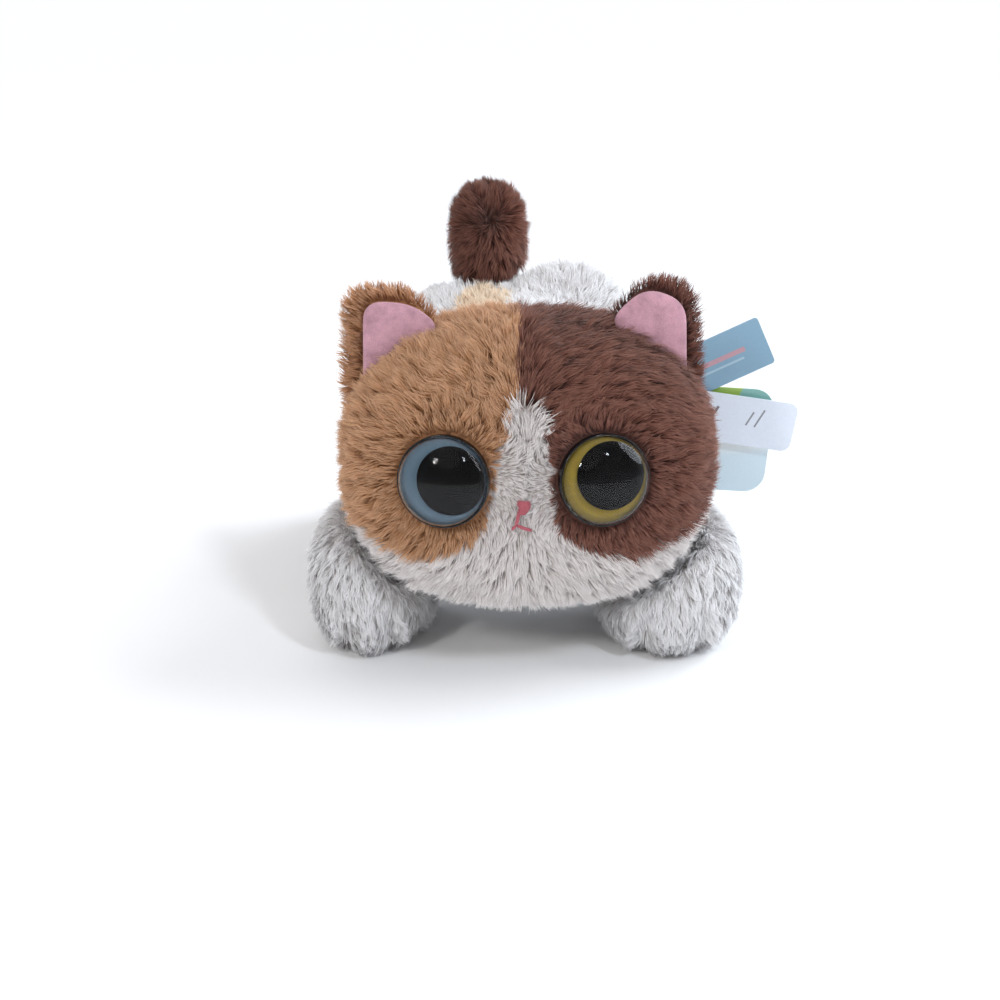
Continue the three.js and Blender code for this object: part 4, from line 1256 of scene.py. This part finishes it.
def open_belly(cloth):
    """Cut the opening that the casing's floor shows through, and draw its edge in to the casing."""
    edit = bmesh.new()
    edit.from_mesh(cloth.data)
    low = place(-CASING["half_width"] - 1, CASING["front"] - 1, 0)
    high = place(CASING["half_width"] + 1, CASING["rear"] + 1, BELLY["bottom"] + 8)
    covered = [
        face for face in edit.faces
        if all(low[k] < face.calc_center_median()[k] < high[k] for k in (0, 1)) and
        face.calc_center_median().z < high[2] and face.normal.z < -0.6
    ]
    bmesh.ops.delete(edit, geom=covered, context="FACES")
    for vertex in edit.verts:
        if vertex.is_boundary:
            vertex.co.z = place(0, 0, BELLY["bottom"] + 1.4)[2]
    edit.to_mesh(cloth.data)
    edit.free()
    cloth.data.update()


def make_binding():
    """A rolled cloth edge round the opening for the casing's floor."""
    half_width, front, rear = CASING["half_width"] + 1.4, CASING["front"] - 1.4, CASING["rear"] + 1.4
    corners = [(-half_width, front), (half_width, front), (half_width, rear), (-half_width, rear)]
    outline = rounded(corners, 6, 3)
    path = np.column_stack([outline, np.full(len(outline), BELLY["bottom"] + 0.4)])
    count, sides, radius = len(path), 10, 1.5
    along = unit(np.roll(path, -1, 0) - np.roll(path, 1, 0))
    outward = np.cross(along, [0, 0, 1])
    points, faces = [], []
    for k in range(count):
        crimp = 1 + 0.06 * math.sin(k * 2.1)
        for j in range(sides):
            angle = 2 * math.pi * j / sides
            points.append(path[k] + radius * crimp * (
                math.cos(angle) * outward[k] + math.sin(angle) * np.array([0, 0, 1])))
            faces.append([
                k * sides + j, k * sides + (j + 1) % sides,
                (k + 1) % count * sides + (j + 1) % sides, (k + 1) % count * sides + j,
            ])
    binding = object_from("belly_binding", placed(np.array(points)), faces)
    nodes = Nodes("white_binding", Roughness=0.85, Sheen_Weight=0.2)
    weave = nodes.noise(1500, 3, 0.6)
    nodes.colour(nodes.ramp(weave, [(0.3, srgb("c9c3be")), (0.7, srgb("efebe8"))]))
    nodes.bump(weave, 0.0003, 0.6)
    finish(binding, nodes.material, "body", "white_fur")


def make_body():
    cloth = skin("body_skin", (0, 36, 72), body_field, 6)
    inflate(cloth, 1.2)
    open_belly(cloth)
    finish_skin(cloth, "body", body_coat, "white_fur", 0.7, "body_plush")
    grow_pile(
        "body_fur", cloth, "body", 1.9, 9.0, body_comb, body_coat, 2,
        lean=1.16, keep=body_keep, width=0.32,
    )
    make_binding()


def leg_comb(shape):
    centre = np.array(shape["centre"], float)

    def comb(roots, up):
        outward = unit(roots - centre) * np.array([1, 1, 0.2])
        return outward + np.array([0, -0.2, -0.7])

    return comb


def make_legs():
    for number, (name, shape) in enumerate(LEGS.items()):
        x, y, z = shape["centre"]
        cloth = skin(f"{name}_leg_skin", (x - np.sign(x) * 4, y + 6, z - 8), leg_field(name), 5)
        inflate(cloth, 0.8)
        finish_skin(cloth, f"{name}_leg", all_of("white"), "white_fur", 0.7, f"{name}_leg_plush")
        grow_pile(
            f"{name}_leg_fur", cloth, f"{name}_leg", 3.2, 7.0, leg_comb(shape), all_of("white"),
            10 + number, lean=1.12, keep=lambda roots, up: roots[:, 2] > 1.5, clump=0.38,
        )


def cuff_comb(roots, up):
    return np.tile([0.0, 0.3, -1.0], (len(roots), 1))


def make_cuffs():
    for number, (name, side) in enumerate(SIDES):
        body = f"front_{name}_leg"
        cloth = skin(f"{body}_cuff_skin", (side * 45.75, -22, 29), cuff_field(side), 5)
        finish_skin(cloth, body, all_of("white"), "white_fur", 0.6)
        grow_pile(
            f"{body}_cuff_fur", cloth, body, 3.0, 5.5, cuff_comb, all_of("white"), 40 + number, lean=1.15)


def tail_comb(roots, up):
    """In front, fur spreads from one gathered spot at the foot of the seam; elsewhere it runs up or down."""
    x, y, z = TAIL["centre"]
    spread = unit((roots - np.array([x + 1.5, y - 16, z + 9])) * np.array([1, 0.4, 1]))
    facing = np.clip((y + 2 - roots[:, 1]) / 8, 0, 1)[:, None]
    upright = np.clip((roots[:, 2] - z + 4) / 10, -1, 1)[:, None] * np.array([0, 0, 1.0])
    return spread * facing + (upright + unit(roots - np.array([x, y, z])) * 0.4) * (1 - facing)


def tail_length(roots):
    return np.interp(roots[:, 2], [118, 132, 150], [12.0, 9.5, 8.0])


def tail_painted_light(roots):
    """Painted light and shade: the pile on its right side, towards the light, is a lighter brown, and on its
    left side a darker one.
    """
    return 0.4 * np.clip((roots[:, 0] - TAIL["centre"][0]) / 12, -1, 1)


def make_tail():
    cloth = skin("tail_skin", (*TAIL_PIVOT[:2], 146), tail_field, 5)
    inflate(cloth, 0.8)
    finish_skin(cloth, "tail", all_of("brown"), "brown_fur", 0.8, "tail_plush")
    grow_pile(
        "tail_fur", cloth, "tail", 3.4, tail_length, tail_comb, all_of("brown"), 20,
        lean=1.05, lighter=tail_painted_light,
    )


# ---- Hang tags ----
def make_tag_loop():
    """The thin plastic loop that the cards hang on, with its small barbed joint."""
    low, high = (np.array(corner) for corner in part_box("tag_loop"))
    centre, reach = (low + high) / 2, (high - low) / 2
    radius = reach[2]
    steps, sides = 72, 12
    points, faces = [], []
    for k in range(steps):
        angle = 2 * math.pi * k / steps
        outward = np.array([math.cos(angle), math.sin(angle), 0])
        spot = centre + outward * (reach[:2].tolist() + [0]) - outward * radius
        swell = 1 + 0.9 * math.exp(-((angle - math.pi * 1.5) / 0.12) ** 2)
        for j in range(sides):
            turn = 2 * math.pi * j / sides
            points.append(spot + radius * 0.9 * swell * (
                math.cos(turn) * outward + math.sin(turn) * np.array([0, 0, 1])))
            faces.append([
                k * sides + j, (k + 1) % steps * sides + j,
                (k + 1) % steps * sides + (j + 1) % sides, k * sides + (j + 1) % sides,
            ])
    loop = object_from("tag_loop_moulded", np.array(points).tolist(), faces)
    nodes = Nodes("clear_nylon", Roughness=0.25, Transmission_Weight=0.35, IOR=1.5)
    nodes.colour(nodes.ramp(nodes.noise(500), [(0.3, (0.86, 0.87, 0.88)), (0.7, (0.95, 0.95, 0.96))]))
    finish(loop, nodes.material, "hang_tags", "clear_string", "tag_loop")


make_camera()
make_stage()
FUR = {coat: fur_material(f"{coat}_pile", *shades) for coat, shades in COATS.items()}
BACKING = backing_material("pile_backing")
VELVET = velvet_material("pink_nap", PINK)
make_head()
make_ears()
make_eyes()
make_nose()
make_body()
make_legs()
make_cuffs()
make_tail()
make_tag_loop()
dress_cad_nodes()
